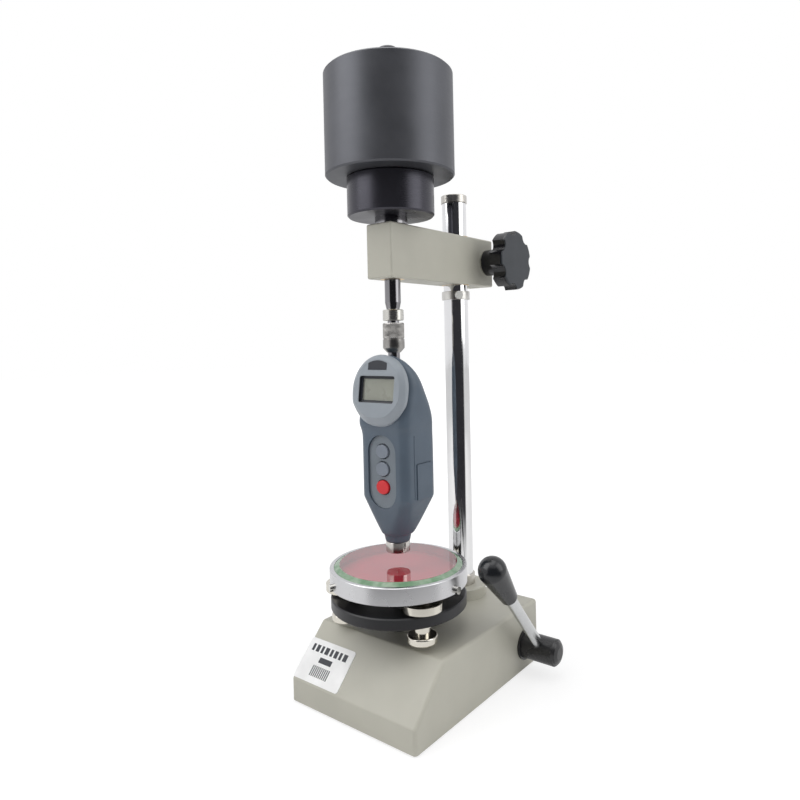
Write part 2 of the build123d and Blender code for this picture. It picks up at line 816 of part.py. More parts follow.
with BuildPart() as platen_ring:
    rod(0, axis_y, ring_r, tray_z, tray_z + ring_h)
    chamfer(platen_ring.edges(), 0.4)
    rod(0, axis_y, ring_bore_r, tray_z, tray_z + ring_h, Mode.SUBTRACT)
    for degrees in ring_degs:
        with BuildSketch(radial_plane(ring_bore_r - 1, degrees, ring_screw_z, 0, axis_y)):
            Circle(ring_screw_r + seat_gap)
        extrude(amount=ring_r - ring_bore_r + 2, mode=Mode.SUBTRACT)
save(platen_ring, "platen_ring")

with BuildPart() as platen_backing:
    rod(0, axis_y, ring_bore_r - glass_gap, tray_top_z, backing_top_z)
save(platen_backing, "platen_backing")

# Glass: a thick plate with a wide ground bevel that rises above the ring
glass_r = ring_bore_r - glass_gap
glass_top_z = backing_top_z + glass_t
with BuildPart() as platen_glass:
    turned(
        [
            (0, backing_top_z),
            (glass_r, backing_top_z),
            (glass_r, glass_top_z - glass_bevel_h),
            (glass_r - glass_bevel_w, glass_top_z),
            (0, glass_top_z),
        ],
        0,
        axis_y,
    )
save(platen_glass, "platen_glass")

with BuildPart() as ring_screws:
    for degrees in ring_degs:
        with BuildSketch(radial_plane(ring_r - ring_screw_l, degrees, ring_screw_z, 0, axis_y)):
            Circle(ring_screw_r)
        extrude(amount=ring_screw_l)
        with BuildSketch(radial_plane(ring_r, degrees, ring_screw_z, 0, axis_y)):
            Circle(ring_screw_head_r)
        extrude(amount=ring_screw_head_l)
save(ring_screws, "ring_screws")

# ------------------------------------------------------- stop ring on the column
stop_deg = stop_screw_deg - 90
stop_mid_z = stop_ring_z + stop_ring_h / 2
with BuildPart() as stop_ring:
    rod(0, column_y, stop_ring_r, stop_ring_z, stop_ring_z + stop_ring_h)
    chamfer(stop_ring.edges(), 0.3)
    rod(0, column_y, column_r + run_gap, stop_ring_z, stop_ring_z + stop_ring_h, Mode.SUBTRACT)
    with BuildSketch(radial_plane(column_r - 1, stop_deg, stop_mid_z, 0, column_y)):
        Circle(stop_screw_r + seat_gap)
    extrude(amount=stop_ring_r - column_r + 2, mode=Mode.SUBTRACT)
save(stop_ring, "stop_ring")

with BuildPart() as stop_screw:
    with BuildSketch(radial_plane(column_r + air_gap, stop_deg, stop_mid_z, 0, column_y)):
        Circle(stop_screw_r)
    extrude(amount=stop_ring_r - column_r)
    with BuildSketch(radial_plane(stop_ring_r, stop_deg, stop_mid_z, 0, column_y)):
        Circle(stop_screw_head_r)
    extrude(amount=stop_screw_head_l)
save(stop_screw, "stop_screw")

# ----------------------------------------------------------- arm, liner, clamp
with BuildPart() as arm_liner:
    rod(0, column_y, liner_r, arm_z, arm_top_z)
    rod(0, column_y, column_r + run_gap, arm_z, arm_top_z, Mode.SUBTRACT)
    block(-kerf_w / 2, kerf_w / 2, column_y, column_y + 2 * liner_r, arm_z, arm_top_z, Mode.SUBTRACT)
save(arm_liner, "arm_liner")

with BuildPart() as arm:
    block(-arm_w / 2, arm_w / 2, arm_front_y, arm_rear_y, arm_z, arm_top_z)
    fillet(arm.edges(), arm_edge_r)
    rod(0, column_y, liner_r + run_gap, arm_z, arm_top_z, Mode.SUBTRACT)
    rod(0, axis_y, spindle_bush_r + seat_gap, arm_z, arm_top_z, Mode.SUBTRACT)
    block(-kerf_w / 2, kerf_w / 2, column_y, arm_rear_y + 1, arm_z, arm_top_z, Mode.SUBTRACT)
    rod_x_way(clamp_y, clamp_z, clamp_stud_r + run_gap, -arm_w / 2, arm_w / 2, Mode.SUBTRACT)
save(arm, "arm")

with BuildPart() as spindle_bush:
    rod(0, axis_y, spindle_bush_r, arm_z, arm_top_z)
    rod(0, axis_y, spindle_r + run_gap, arm_z, arm_top_z, Mode.SUBTRACT)
save(spindle_bush, "spindle_bush")

clamp_washer_x = arm_w / 2
clamp_hub_x = clamp_washer_x + clamp_washer_t
clamp_head_x = clamp_hub_x + clamp_hub_l
clamp_end_x = clamp_head_x + clamp_head_l
with BuildPart() as clamp_washer:
    rod_x_way(clamp_y, clamp_z, clamp_washer_r, clamp_washer_x, clamp_hub_x)
    rod_x_way(clamp_y, clamp_z, clamp_stud_r + run_gap, clamp_washer_x, clamp_hub_x, Mode.SUBTRACT)
save(clamp_washer, "clamp_washer")

with BuildPart() as clamp_stud:
    rod_x_way(clamp_y, clamp_z, clamp_stud_r, 1 - arm_w / 2, clamp_head_x)
save(clamp_stud, "clamp_stud")

# Star knob: round head with seven flutes and a plain hub
flute_centre_r = clamp_head_r - clamp_flute_depth + clamp_flute_r
with BuildPart() as clamp_knob:
    rod_x_way(clamp_y, clamp_z, clamp_hub_r, clamp_hub_x, clamp_head_x)
    rod_x_way(clamp_y, clamp_z, clamp_head_r, clamp_head_x, clamp_end_x)
    fillet(clamp_knob.edges().group_by(Axis.X)[-1], clamp_head_edge)
    with BuildSketch(Plane.YZ.offset(clamp_head_x)):
        with Locations((clamp_y, clamp_z)):
            with PolarLocations(flute_centre_r, clamp_lobes):
                Circle(clamp_flute_r)
    extrude(amount=clamp_head_l, mode=Mode.SUBTRACT)
    rod_x_way(clamp_y, clamp_z, clamp_stud_r + seat_gap, clamp_hub_x, clamp_head_x + 0.5, Mode.SUBTRACT)
save(clamp_knob, "clamp_knob")

# ------------------------------------------------------- spindle and weights
with BuildPart() as spindle:
    turned(
        [
            (0, spindle_thread_z),
            (spindle_thread_r, spindle_thread_z),
            (spindle_thread_r, spindle_neck_z),
            (spindle_neck_r, spindle_neck_z),
            (spindle_r, spindle_shoulder_z),
            (spindle_r, arm_top_z),
            (flange_r, arm_top_z),
            (flange_r, flange_top_z),
            (weight_pin_r, flange_top_z),
            (weight_pin_r, flange_top_z + weight_pin_l),
            (0, flange_top_z + weight_pin_l),
        ],
        0,
        axis_y,
    )
save(spindle, "spindle")

with BuildPart() as small_weight:
    rod(0, axis_y, small_weight_r, flange_top_z, small_top_z)
    chamfer(small_weight.edges(), weight_chamfer)
    rod(0, axis_y, weight_pin_r, small_top_z, small_top_z + upper_pin_l)
    pin_room_z = flange_top_z + weight_pin_l + weight_pin_room
    rod(0, axis_y, weight_pin_r + run_gap, flange_top_z, pin_room_z, Mode.SUBTRACT)
save(small_weight, "small_weight")

with BuildPart() as main_weight:
    rod(0, axis_y, main_weight_r, small_top_z, main_top_z)
    chamfer(main_weight.edges(), weight_chamfer)
    upper_room_z = small_top_z + upper_pin_l + weight_pin_room
    rod(0, axis_y, weight_pin_r + run_gap, small_top_z, upper_room_z, Mode.SUBTRACT)
    stud_low_z = main_top_z - knob_stud_l - 1
    rod(0, axis_y, knob_stud_r + seat_gap, stud_low_z, main_top_z, Mode.SUBTRACT)
save(main_weight, "main_weight")

with BuildPart() as weight_knob:
    rod(0, axis_y, knob_r, main_top_z, main_top_z + knob_h)
    fillet(weight_knob.edges().group_by(Axis.Z)[-1], knob_edge)
    rod(0, axis_y, knob_stud_r, main_top_z - knob_stud_l, main_top_z)
save(weight_knob, "weight_knob")

with BuildPart() as lock_ring:
    rod(0, axis_y, lock_ring_r, lock_ring_z, lock_ring_z + lock_ring_h)
    chamfer(lock_ring.edges(), 0.6)
    thread_r = spindle_thread_r + thread_play
    rod(0, axis_y, thread_r, lock_ring_z, lock_ring_z + lock_ring_h, Mode.SUBTRACT)
save(lock_ring, "lock_ring")

with BuildPart() as coupling_sleeve:
    turned(
        [
            (stub_r + thread_play, sleeve_bottom_z),
            (sleeve_lip_r, sleeve_bottom_z),
            (sleeve_r, sleeve_cone_z),
            (sleeve_r, sleeve_top_z - 0.5),
            (sleeve_r - 0.5, sleeve_top_z),
            (stub_r + thread_play, sleeve_top_z),
        ],
        0,
        axis_y,
    )
save(coupling_sleeve, "coupling_sleeve")

# --------------------------------------------------------------- durometer
with BuildPart() as duro_stub:
    rod(0, axis_y, stub_r, stub_bottom_z, stub_top_z)
save(duro_stub, "duro_stub")

# Housing: rounded body, tapering nose and a swept head behind the bezel
bezel_back = bezel_plane.offset(-bezel_t)
bezel_lean = math.tan(math.radians(bezel_tilt))


def bezel_back_y(z):
    """Where the bezel's back plane lies at a height."""
    return bezel_back.origin.Y + (z - bezel_back.origin.Z) * bezel_lean


lip_z = bezel_mid_z - bezel_drop * math.cos(math.radians(bezel_tilt))
with BuildPart() as duro_housing:
    with BuildSketch(Plane.XY.offset(body_low_z)):
        with Locations((0, body_mid_y)):
            RectangleRounded(body_w, body_d, body_corner_r)
    extrude(amount=head_top_z - body_low_z - bezel_half_w / 2)
    with BuildSketch(bezel_back):
        arch(bezel_half_w - head_inset, bezel_drop - head_inset, bezel_corner_r)
    extrude(amount=-head_back_l, taper=head_taper)
    with BuildSketch(Plane.YZ):
        with BuildLine():
            Line((body_front_y, body_low_z), (body_front_y, head_front_step_z))
            Line((body_front_y, head_front_step_z), (bezel_back_y(lip_z), lip_z))
            Line((bezel_back_y(lip_z), lip_z), (bezel_back_y(head_top_z), head_top_z))
            Line((bezel_back_y(head_top_z), head_top_z), (axis_y - stub_r, head_top_z))
            ThreePointArc(
                (axis_y - stub_r, head_top_z),
                (axis_y + head_arc_y, head_arc_z),
                (axis_y + body_rear, body_shoulder_z),
            )
            Line((axis_y + body_rear, body_shoulder_z), (axis_y + body_rear, body_low_z))
            Line((axis_y + body_rear, body_low_z), (body_front_y, body_low_z))
        make_face()
    extrude(amount=2 * bezel_half_w, both=True, mode=Mode.INTERSECT)
    with BuildSketch(Plane.XZ):
        with BuildLine():
            Line((-bezel_half_w, body_low_z), (bezel_half_w, body_low_z))
            Line((bezel_half_w, body_low_z), (bezel_half_w, bezel_mid_z))
            ThreePointArc(
                (bezel_half_w, bezel_mid_z), (0, bezel_mid_z + bezel_half_w), (-bezel_half_w, bezel_mid_z)
            )
            Line((-bezel_half_w, bezel_mid_z), (-bezel_half_w, body_low_z))
        make_face()
    extrude(amount=2 * half_d, both=True, mode=Mode.INTERSECT)
    with BuildSketch(Plane.XY.offset(taper_low_z)):
        with Locations((0, axis_y + taper_rear_over / 2)):
            RectangleRounded(2 * taper_low_r, 2 * taper_low_r + taper_rear_over, taper_low_r - 0.2)
    with BuildSketch(Plane.XY.offset(body_low_z)):
        with Locations((0, body_mid_y)):
            RectangleRounded(body_w, body_d, body_corner_r)
    loft()
    turned(
        [(0, neck_low_z), (neck_low_r, neck_low_z), (neck_r, taper_low_z), (0, taper_low_z)], 0, axis_y
    )
    # room behind the keypad, open at the front
    with BuildSketch(Plane.XY.offset(cavity_low_z)):
        with Locations((0, body_mid_y + (front_wall - shell_wall) / 2)):
            RectangleRounded(
                body_w - 2 * shell_wall, body_d - front_wall - shell_wall, body_corner_r - shell_wall
            )
    extrude(amount=cavity_top_z - cavity_low_z, mode=Mode.SUBTRACT)
    keypad_mid_z = (keypad_low_z + keypad_top_z) / 2
    with BuildSketch(Plane.XZ.offset(-body_front_y)):
        with Locations((0, keypad_mid_z)):
            SlotCenterToCenter(keypad_top_z - keypad_low_z - keypad_w, keypad_w + 2 * seat_gap, rotation=90)
    extrude(amount=-keypad_sunk - keypad_t, mode=Mode.SUBTRACT)
    with BuildSketch(Plane.XZ.offset(-body_front_y)):
        with Locations((0, keypad_mid_z)):
            SlotCenterToCenter(
                keypad_top_z - keypad_low_z - keypad_w, keypad_w - 2 * keypad_lip, rotation=90
            )
    extrude(amount=-front_wall - shell_wall, mode=Mode.SUBTRACT)
    # seat of the side cover
    block(
        body_w / 2 - side_cover_t + side_cover_out,
        body_w / 2 + 1,
        axis_y + side_cover_front,
        axis_y + side_cover_rear,
        side_cover_low_z,
        side_cover_top_z,
        Mode.SUBTRACT,
    )
    # presser foot's shank, spring and needle rod
    rod(0, axis_y, presser_shank_r + seat_gap, neck_low_z, presser_shank_z, Mode.SUBTRACT)
    rod(0, axis_y, spring_bore_r, presser_shank_z, spring_seat_z, Mode.SUBTRACT)
    rod(0, axis_y, needle_r + run_gap, spring_seat_z, cavity_low_z, Mode.SUBTRACT)
    # stub's seat in the head
    rod(0, axis_y, stub_r + seat_gap, stub_bottom_z, stub_top_z, Mode.SUBTRACT)
save(duro_housing, "duro_housing")

with BuildPart() as duro_bezel:
    with BuildSketch(bezel_plane):
        arch(bezel_half_w, bezel_drop, bezel_corner_r)
    extrude(amount=-bezel_t)
    front_face = duro_bezel.faces().sort_by(Axis((0, 0, 0), tuple(bezel_plane.z_dir)))[-1]
    fillet(front_face.edges(), bezel_edge_r)
    with BuildSketch(bezel_plane):
        RectangleRounded(display_w, display_h, display_corner_r)
    extrude(amount=-display_recess - window_t - panel_t, mode=Mode.SUBTRACT)
    with BuildSketch(bezel_plane):
        with BuildLine():
            Line((-badge_half_w, badge_low), (badge_half_w, badge_low))
            Line((badge_half_w, badge_low), (badge_half_w, badge_low + badge_side_h))
            ThreePointArc(
                (badge_half_w, badge_low + badge_side_h),
                (0, badge_low + badge_rise),
                (-badge_half_w, badge_low + badge_side_h),
            )
            Line((-badge_half_w, badge_low + badge_side_h), (-badge_half_w, badge_low))
        make_face()
    extrude(amount=-badge_t, mode=Mode.SUBTRACT)
save(duro_bezel, "duro_bezel")

with BuildPart() as badge_plate:
    with BuildSketch(bezel_plane.offset(-badge_t)):
        with BuildLine():
            Line((-badge_half_w, badge_low), (badge_half_w, badge_low))
            Line((badge_half_w, badge_low), (badge_half_w, badge_low + badge_side_h))
            ThreePointArc(
                (badge_half_w, badge_low + badge_side_h),
                (0, badge_low + badge_rise),
                (-badge_half_w, badge_low + badge_side_h),
            )
            Line((-badge_half_w, badge_low + badge_side_h), (-badge_half_w, badge_low))
        make_face()
        offset(amount=-seat_gap, mode=Mode.REPLACE)
    extrude(amount=badge_t)
save(badge_plate, "badge_plate")

with BuildPart() as lcd_window:
    with BuildSketch(bezel_plane.offset(-display_recess - window_t)):
        RectangleRounded(display_w - 2 * seat_gap, display_h - 2 * seat_gap, display_corner_r)
    extrude(amount=window_t)
save(lcd_window, "lcd_window")

with BuildPart() as lcd_panel:
    with BuildSketch(bezel_plane.offset(-display_recess - window_t - panel_t)):
        RectangleRounded(display_w - 2 * seat_gap, display_h - 2 * seat_gap, display_corner_r)
    extrude(amount=panel_t)
save(lcd_panel, "lcd_panel")

keypad_front_y = body_front_y + keypad_sunk
with BuildPart() as keypad_panel:
    with BuildSketch(Plane.XZ.offset(-keypad_front_y)):
        with Locations((0, keypad_mid_z)):
            SlotCenterToCenter(keypad_top_z - keypad_low_z - keypad_w, keypad_w, rotation=90)
        with Locations(*[(0, z) for z in button_z]):
            Ellipse(button_half_w + button_hole_gap, button_half_h + button_hole_gap, mode=Mode.SUBTRACT)
    extrude(amount=-keypad_t)
save(keypad_panel, "keypad_panel")

# Buttons: a domed cap with a flange held behind the panel
keypad_back_y = keypad_front_y + keypad_t
for name, z in zip(("button_top", "button_middle", "button_low"), button_z):
    with BuildPart() as button:
        with BuildSketch(Plane.XZ.offset(-keypad_back_y)):
            with Locations((0, z)):
                Ellipse(button_half_w, button_half_h)
        extrude(amount=keypad_t + button_out)
        fillet(button.edges().group_by(Axis.Y)[0], button_dome)
        with BuildSketch(Plane.XZ.offset(-keypad_back_y - button_flange_t)):
            with Locations((0, z)):
                Ellipse(button_half_w + button_flange, button_half_h + button_flange)
        extrude(amount=button_flange_t)
    save(button, name)

with BuildPart() as side_cover:
    block(
        body_w / 2 - side_cover_t + side_cover_out,
        body_w / 2 + side_cover_out,
        axis_y + side_cover_front + seat_gap,
        axis_y + side_cover_rear - seat_gap,
        side_cover_low_z + seat_gap,
        side_cover_top_z - seat_gap,
    )
save(side_cover, "side_cover")

with BuildPart() as presser_foot:
    rod(0, axis_y, presser_r, presser_low_z, neck_low_z)
    chamfer(presser_foot.edges(), 0.3)
    rod(0, axis_y, presser_shank_r, neck_low_z, presser_shank_z)
    rod(0, axis_y, needle_r + run_gap, presser_low_z, guide_floor_z, Mode.SUBTRACT)
    rod(0, axis_y, piston_r + run_gap, guide_floor_z, presser_shank_z, Mode.SUBTRACT)
save(presser_foot, "presser_foot")

with BuildPart() as indenter:
    turned(
        [
            (0, presser_low_z - needle_out),
            (needle_tip_r, presser_low_z - needle_out),
            (needle_r, presser_low_z - needle_out + needle_cone_h),
            (needle_r, piston_low_z),
            (piston_r, piston_low_z),
            (piston_r, piston_top_z),
            (needle_r, piston_top_z),
            (needle_r, needle_rod_top_z),
            (0, needle_rod_top_z),
        ],
        0,
        axis_y,
    )
save(indenter, "indenter")

# Spring: disc springs stacked in pairs between the piston and the housing
disc_rise = (spring_seat_z - piston_top_z - spring_disc_t) / spring_discs
with BuildPart() as indenter_spring:
    for number in range(spring_discs):
        low_z = piston_top_z + number * disc_rise
        start_r, end_r = (spring_in_r, spring_out_r) if number % 2 == 0 else (spring_out_r, spring_in_r)
        turned(
            [
                (start_r, low_z),
                (end_r, low_z + disc_rise),
                (end_r, low_z + disc_rise + spring_disc_t),
                (start_r, low_z + spring_disc_t),
            ],
            0,
            axis_y,
        )
save(indenter_spring, "indenter_spring")
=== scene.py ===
import bpy
import bmesh
import json
import math
from mathutils import Matrix, Vector


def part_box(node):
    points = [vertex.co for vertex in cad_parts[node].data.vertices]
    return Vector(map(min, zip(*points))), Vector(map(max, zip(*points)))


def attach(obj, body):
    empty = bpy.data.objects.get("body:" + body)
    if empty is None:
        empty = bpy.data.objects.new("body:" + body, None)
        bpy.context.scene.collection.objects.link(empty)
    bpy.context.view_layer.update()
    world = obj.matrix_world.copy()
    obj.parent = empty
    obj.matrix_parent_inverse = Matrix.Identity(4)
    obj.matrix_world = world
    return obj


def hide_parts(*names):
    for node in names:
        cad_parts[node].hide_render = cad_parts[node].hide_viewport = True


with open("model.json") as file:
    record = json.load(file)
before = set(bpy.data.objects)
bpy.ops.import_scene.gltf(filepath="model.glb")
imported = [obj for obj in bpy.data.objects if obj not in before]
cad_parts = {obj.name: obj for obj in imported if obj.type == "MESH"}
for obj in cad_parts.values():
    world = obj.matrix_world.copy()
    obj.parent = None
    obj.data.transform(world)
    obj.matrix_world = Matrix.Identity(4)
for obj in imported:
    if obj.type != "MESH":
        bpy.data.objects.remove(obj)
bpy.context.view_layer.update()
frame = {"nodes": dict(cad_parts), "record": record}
nodes = frame["nodes"]
MM = 0.001

# ------------------------------------------------------------------ materials
# Every finish is procedural and reads object coordinates, which are the part's
# own metres. Constants sit on the shader's sockets.


def new_material(name):
    material = bpy.data.materials.new(name)
    material.use_nodes = True
    tree = material.node_tree
    shader = tree.nodes["Principled BSDF"]
    coords = tree.nodes.new("ShaderNodeTexCoord")
    return material, tree, shader, coords.outputs["Object"]


def noise(tree, coords, scale, detail=3.0, stretch=(1, 1, 1)):
    mapping = tree.nodes.new("ShaderNodeMapping")
    mapping.inputs["Scale"].default_value = stretch
    tree.links.new(coords, mapping.inputs["Vector"])
    node = tree.nodes.new("ShaderNodeTexNoise")
    node.inputs["Scale"].default_value = scale
    node.inputs["Detail"].default_value = detail
    tree.links.new(mapping.outputs["Vector"], node.inputs["Vector"])
    return node.outputs["Fac"]


def two_colours(tree, factor, low, high, start=0.35, end=0.65):
    ramp = tree.nodes.new("ShaderNodeValToRGB")
    ramp.color_ramp.elements[0].position = start
    ramp.color_ramp.elements[1].position = end
    ramp.color_ramp.elements[0].color = (*low, 1)
    ramp.color_ramp.elements[1].color = (*high, 1)
    tree.links.new(factor, ramp.inputs["Fac"])
    return ramp.outputs["Color"]


def map_range(tree, factor, low, high, start=0.3, end=0.7):
    node = tree.nodes.new("ShaderNodeMapRange")
    node.inputs["From Min"].default_value = start
    node.inputs["From Max"].default_value = end
    node.inputs["To Min"].default_value = low
    node.inputs["To Max"].default_value = high
    tree.links.new(factor, node.inputs["Value"])
    return node.outputs["Result"]


def maths(tree, operation, a, b=None):
    node = tree.nodes.new("ShaderNodeMath")
    node.operation = operation
    for socket, value in zip(node.inputs, (a, b)):
        if value is None:
            continue
        if isinstance(value, (int, float)):
            socket.default_value = value
        else:
            tree.links.new(value, socket)
    return node.outputs[0]


def vector_maths(tree, operation, a, b=None):
    node = tree.nodes.new("ShaderNodeVectorMath")
    node.operation = operation
    tree.links.new(a, node.inputs[0])
    if b is not None:
        node.inputs[1].default_value = b
    return node.outputs["Value"] if operation in ("LENGTH", "DOT_PRODUCT") else node.outputs[0]


def mix_shaders(tree, factor, low, high):
    node = tree.nodes.new("ShaderNodeMixShader")
    tree.links.new(factor, node.inputs["Fac"])
    tree.links.new(low, node.inputs[1])
    tree.links.new(high, node.inputs[2])
    return node.outputs["Shader"]


def mix_colour(tree, factor, low, high):
    node = tree.nodes.new("ShaderNodeMix")
    node.data_type = "RGBA"
    for socket, value in ((node.inputs[0], factor), (node.inputs[6], low), (node.inputs[7], high)):
        if isinstance(value, tuple):
            socket.default_value = (*value, 1)
        else:
            tree.links.new(value, socket)
    return node.outputs[2]


def add_bump(tree, shader, height, strength, distance):
    node = tree.nodes.new("ShaderNodeBump")
    node.inputs["Strength"].default_value = strength
    node.inputs["Distance"].default_value = distance
    tree.links.new(height, node.inputs["Height"])
    tree.links.new(node.outputs["Normal"], shader.inputs["Normal"])


def mirrored_share(tree, ior, more=0.0):
    """Fresnel reflection from the outer side of a clear plate, and none from inside it."""
    fresnel = tree.nodes.new("ShaderNodeFresnel")
    fresnel.inputs["IOR"].default_value = ior
    inside = tree.nodes.new("ShaderNodeNewGeometry").outputs["Backfacing"]
    share = maths(tree, "ADD", fresnel.outputs["Fac"], more)
    return maths(tree, "MULTIPLY", share, maths(tree, "SUBTRACT", 1.0, inside))


def shade(colour, factor):
    return tuple(min(1.0, c * factor) for c in colour)


def painted(name, colour, rough=0.42):
    """Stoved paint: faint mottling and orange peel."""
    material, tree, shader, coords = new_material(name)
    mottle = noise(tree, coords, 30, 4)
    tree.links.new(
        two_colours(tree, mottle, shade(colour, 0.965), shade(colour, 1.03)), shader.inputs["Base Color"]
    )
    tree.links.new(
        map_range(tree, noise(tree, coords, 55, 3), rough - 0.05, rough + 0.07), shader.inputs["Roughness"]
    )
    add_bump(tree, shader, noise(tree, coords, 900, 2), 0.12, 0.00012)
    shader.inputs["Specular IOR Level"].default_value = 0.45
    return material


def bright(name, colour, rough=0.08, smudge=0.05):
    """Plated or polished metal with faint handling smudges."""
    material, tree, shader, coords = new_material(name)
    smears = noise(tree, coords, 45, 5)
    tree.links.new(
        two_colours(tree, smears, shade(colour, 0.95), shade(colour, 1.02)), shader.inputs["Base Color"]
    )
    tree.links.new(map_range(tree, smears, rough, rough + smudge), shader.inputs["Roughness"])
    add_bump(tree, shader, noise(tree, coords, 300, 2), 0.03, 0.00005)
    shader.inputs["Metallic"].default_value = 1.0
    return material


def turned(name, colour, rough=0.32, line=2600, strength=0.12, axis="Z", metallic=1.0):
    """Lathe-turned or drawn metal: fine rings across the axis and a soft, uneven oxide."""
    material, tree, shader, coords = new_material(name)
    stretch = {"X": (1, 0.02, 0.02), "Y": (0.02, 1, 0.02), "Z": (0.02, 0.02, 1)}[axis]
    rings = noise(tree, coords, line, 2, stretch)
    patches = noise(tree, coords, 38, 5)
    tree.links.new(
        two_colours(tree, patches, shade(colour, 0.9), shade(colour, 1.1), 0.3, 0.7),
        shader.inputs["Base Color"],
    )
    both = maths(tree, "ADD", maths(tree, "MULTIPLY", rings, 0.5), maths(tree, "MULTIPLY", patches, 0.5))
    tree.links.new(map_range(tree, both, rough - 0.06, rough + 0.08), shader.inputs["Roughness"])
    add_bump(tree, shader, rings, strength, 0.00008)
    shader.inputs["Metallic"].default_value = metallic
    return material


def moulded(name, colour, rough=0.45, grain=0.10, specular=0.4):
    """Moulded plastic: fine spark-eroded grain, slightly uneven gloss."""
    material, tree, shader, coords = new_material(name)
    cloud = noise(tree, coords, 60, 4)
    tree.links.new(
        two_colours(tree, cloud, shade(colour, 0.95), shade(colour, 1.05)), shader.inputs["Base Color"]
    )
    tree.links.new(
        map_range(tree, noise(tree, coords, 110, 3), rough - 0.05, rough + 0.06), shader.inputs["Roughness"]
    )
    add_bump(tree, shader, noise(tree, coords, 2400, 2), grain, 0.00006)
    shader.inputs["Specular IOR Level"].default_value = specular
    return material


def see_through(tree, coords, low, high, rough, share):
    """What lies beneath, tinted from low to high, less what the surface mirrors."""
    through = tree.nodes.new("ShaderNodeBsdfTransparent")
    tree.links.new(two_colours(tree, noise(tree, coords, 25, 3), low, high), through.inputs["Color"])
    gloss = tree.nodes.new("ShaderNodeBsdfGlossy")
    gloss.inputs["Roughness"].default_value = rough
    return mix_shaders(tree, share, through.outputs["BSDF"], gloss.outputs["BSDF"])


def clear_glass(name, tint, rough=0.02, ior=1.5):
    """A clear plate over something else."""
    material, tree, shader, coords = new_material(name)
    tree.nodes.remove(shader)
    surface = see_through(tree, coords, shade(tint, 0.985), tint, rough, mirrored_share(tree, ior))
    tree.links.new(surface, tree.nodes["Material Output"].inputs["Surface"])
    return material


# Colours are linear
BACKING_RED = (0.55, 0.012, 0.040)
FAINT_GREY = (0.96, 0.97, 0.96)
WHITE = (1.0, 1.0, 1.0)
GLASS_GREENS = ((0.15, 0.28, 0.16), (0.32, 0.42, 0.31))
# The ground edge's look starts at one distance from the rim and is full at the other
GROUND_FROM, GROUND_FULL = 4.1 * MM, 3.7 * MM
# The platen mirrors a little more than Fresnel's share alone
PLATEN_IOR = 1.62
MORE_MIRRORED = 0.18


def platen_glass_look():
    """Float glass: clear on top, green at its ground edge; inside the rim, a red diffuse is a painted
    reflection of its backing.
    """
    material, tree, shader, coords = new_material("platen_glass_look")
    tree.nodes.remove(shader)
    low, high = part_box("platen_glass")
    centre = (low + high) / 2
    radius = (high.x - low.x) / 2
    out = vector_maths(tree, "SUBTRACT", coords, (centre.x, centre.y, 0))
    out = vector_maths(tree, "LENGTH", vector_maths(tree, "MULTIPLY", out, (1, 1, 0)))
    edge = map_range(tree, out, 0, 1, radius - GROUND_FROM, radius - GROUND_FULL)
    top = see_through(
        tree, coords, FAINT_GREY, WHITE, 0.015, mirrored_share(tree, PLATEN_IOR, MORE_MIRRORED)
    )
    ground = tree.nodes.new("ShaderNodeBsdfPrincipled")
    ground.inputs["Roughness"].default_value = 0.25
    greens = two_colours(tree, noise(tree, coords, 140, 3), *GLASS_GREENS)
    tree.links.new(greens, ground.inputs["Base Color"])
    # Painted reflection: a red diffuse inside the rim stands in for the backing that the glass mirrors
    # there
    inner = tree.nodes.new("ShaderNodeBsdfDiffuse")
    painted_reflection_reds = two_colours(tree, noise(tree, coords, 90, 3), shade(BACKING_RED, 0.8), BACKING_RED)
    tree.links.new(painted_reflection_reds, inner.inputs["Color"])
    inside = tree.nodes.new("ShaderNodeNewGeometry").outputs["Backfacing"]
    rim = mix_shaders(tree, inside, ground.outputs["BSDF"], inner.outputs["BSDF"])
    surface = mix_shaders(tree, edge, top, rim)
    tree.links.new(surface, tree.nodes["Material Output"].inputs["Surface"])
    return material


# The knob's satin face starts at one depth behind its outer end and is full at the other
FACE_FROM, FACE_FULL = 1.2 * MM, 0.7 * MM
FLUTE_BLACK = (0.006, 0.006, 0.008)
FACE_GREYS = ((0.019, 0.024, 0.030), (0.025, 0.030, 0.037))


def knob_look():
    """Phenolic knob: satin outer face, glossy black flutes and hub."""
    material, tree, shader, coords = new_material("clamp_knob_look")
    end_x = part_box("clamp_knob")[1].x
    split = tree.nodes.new("ShaderNodeSeparateXYZ")
    tree.links.new(coords, split.inputs[0])
    on_face = map_range(tree, split.outputs["X"], 0, 1, end_x - FACE_FROM, end_x - FACE_FULL)
    mottle = two_colours(tree, noise(tree, coords, 80, 3), *FACE_GREYS)
    tree.links.new(mix_colour(tree, on_face, FLUTE_BLACK, mottle), shader.inputs["Base Color"])
    tree.links.new(map_range(tree, on_face, 0.20, 0.46, 0, 1), shader.inputs["Roughness"])
    add_bump(tree, shader, noise(tree, coords, 2400, 2), 0.06, 0.00005)
    return material


BEIGE = (0.455, 0.445, 0.380)
STEEL = (0.62, 0.61, 0.58)

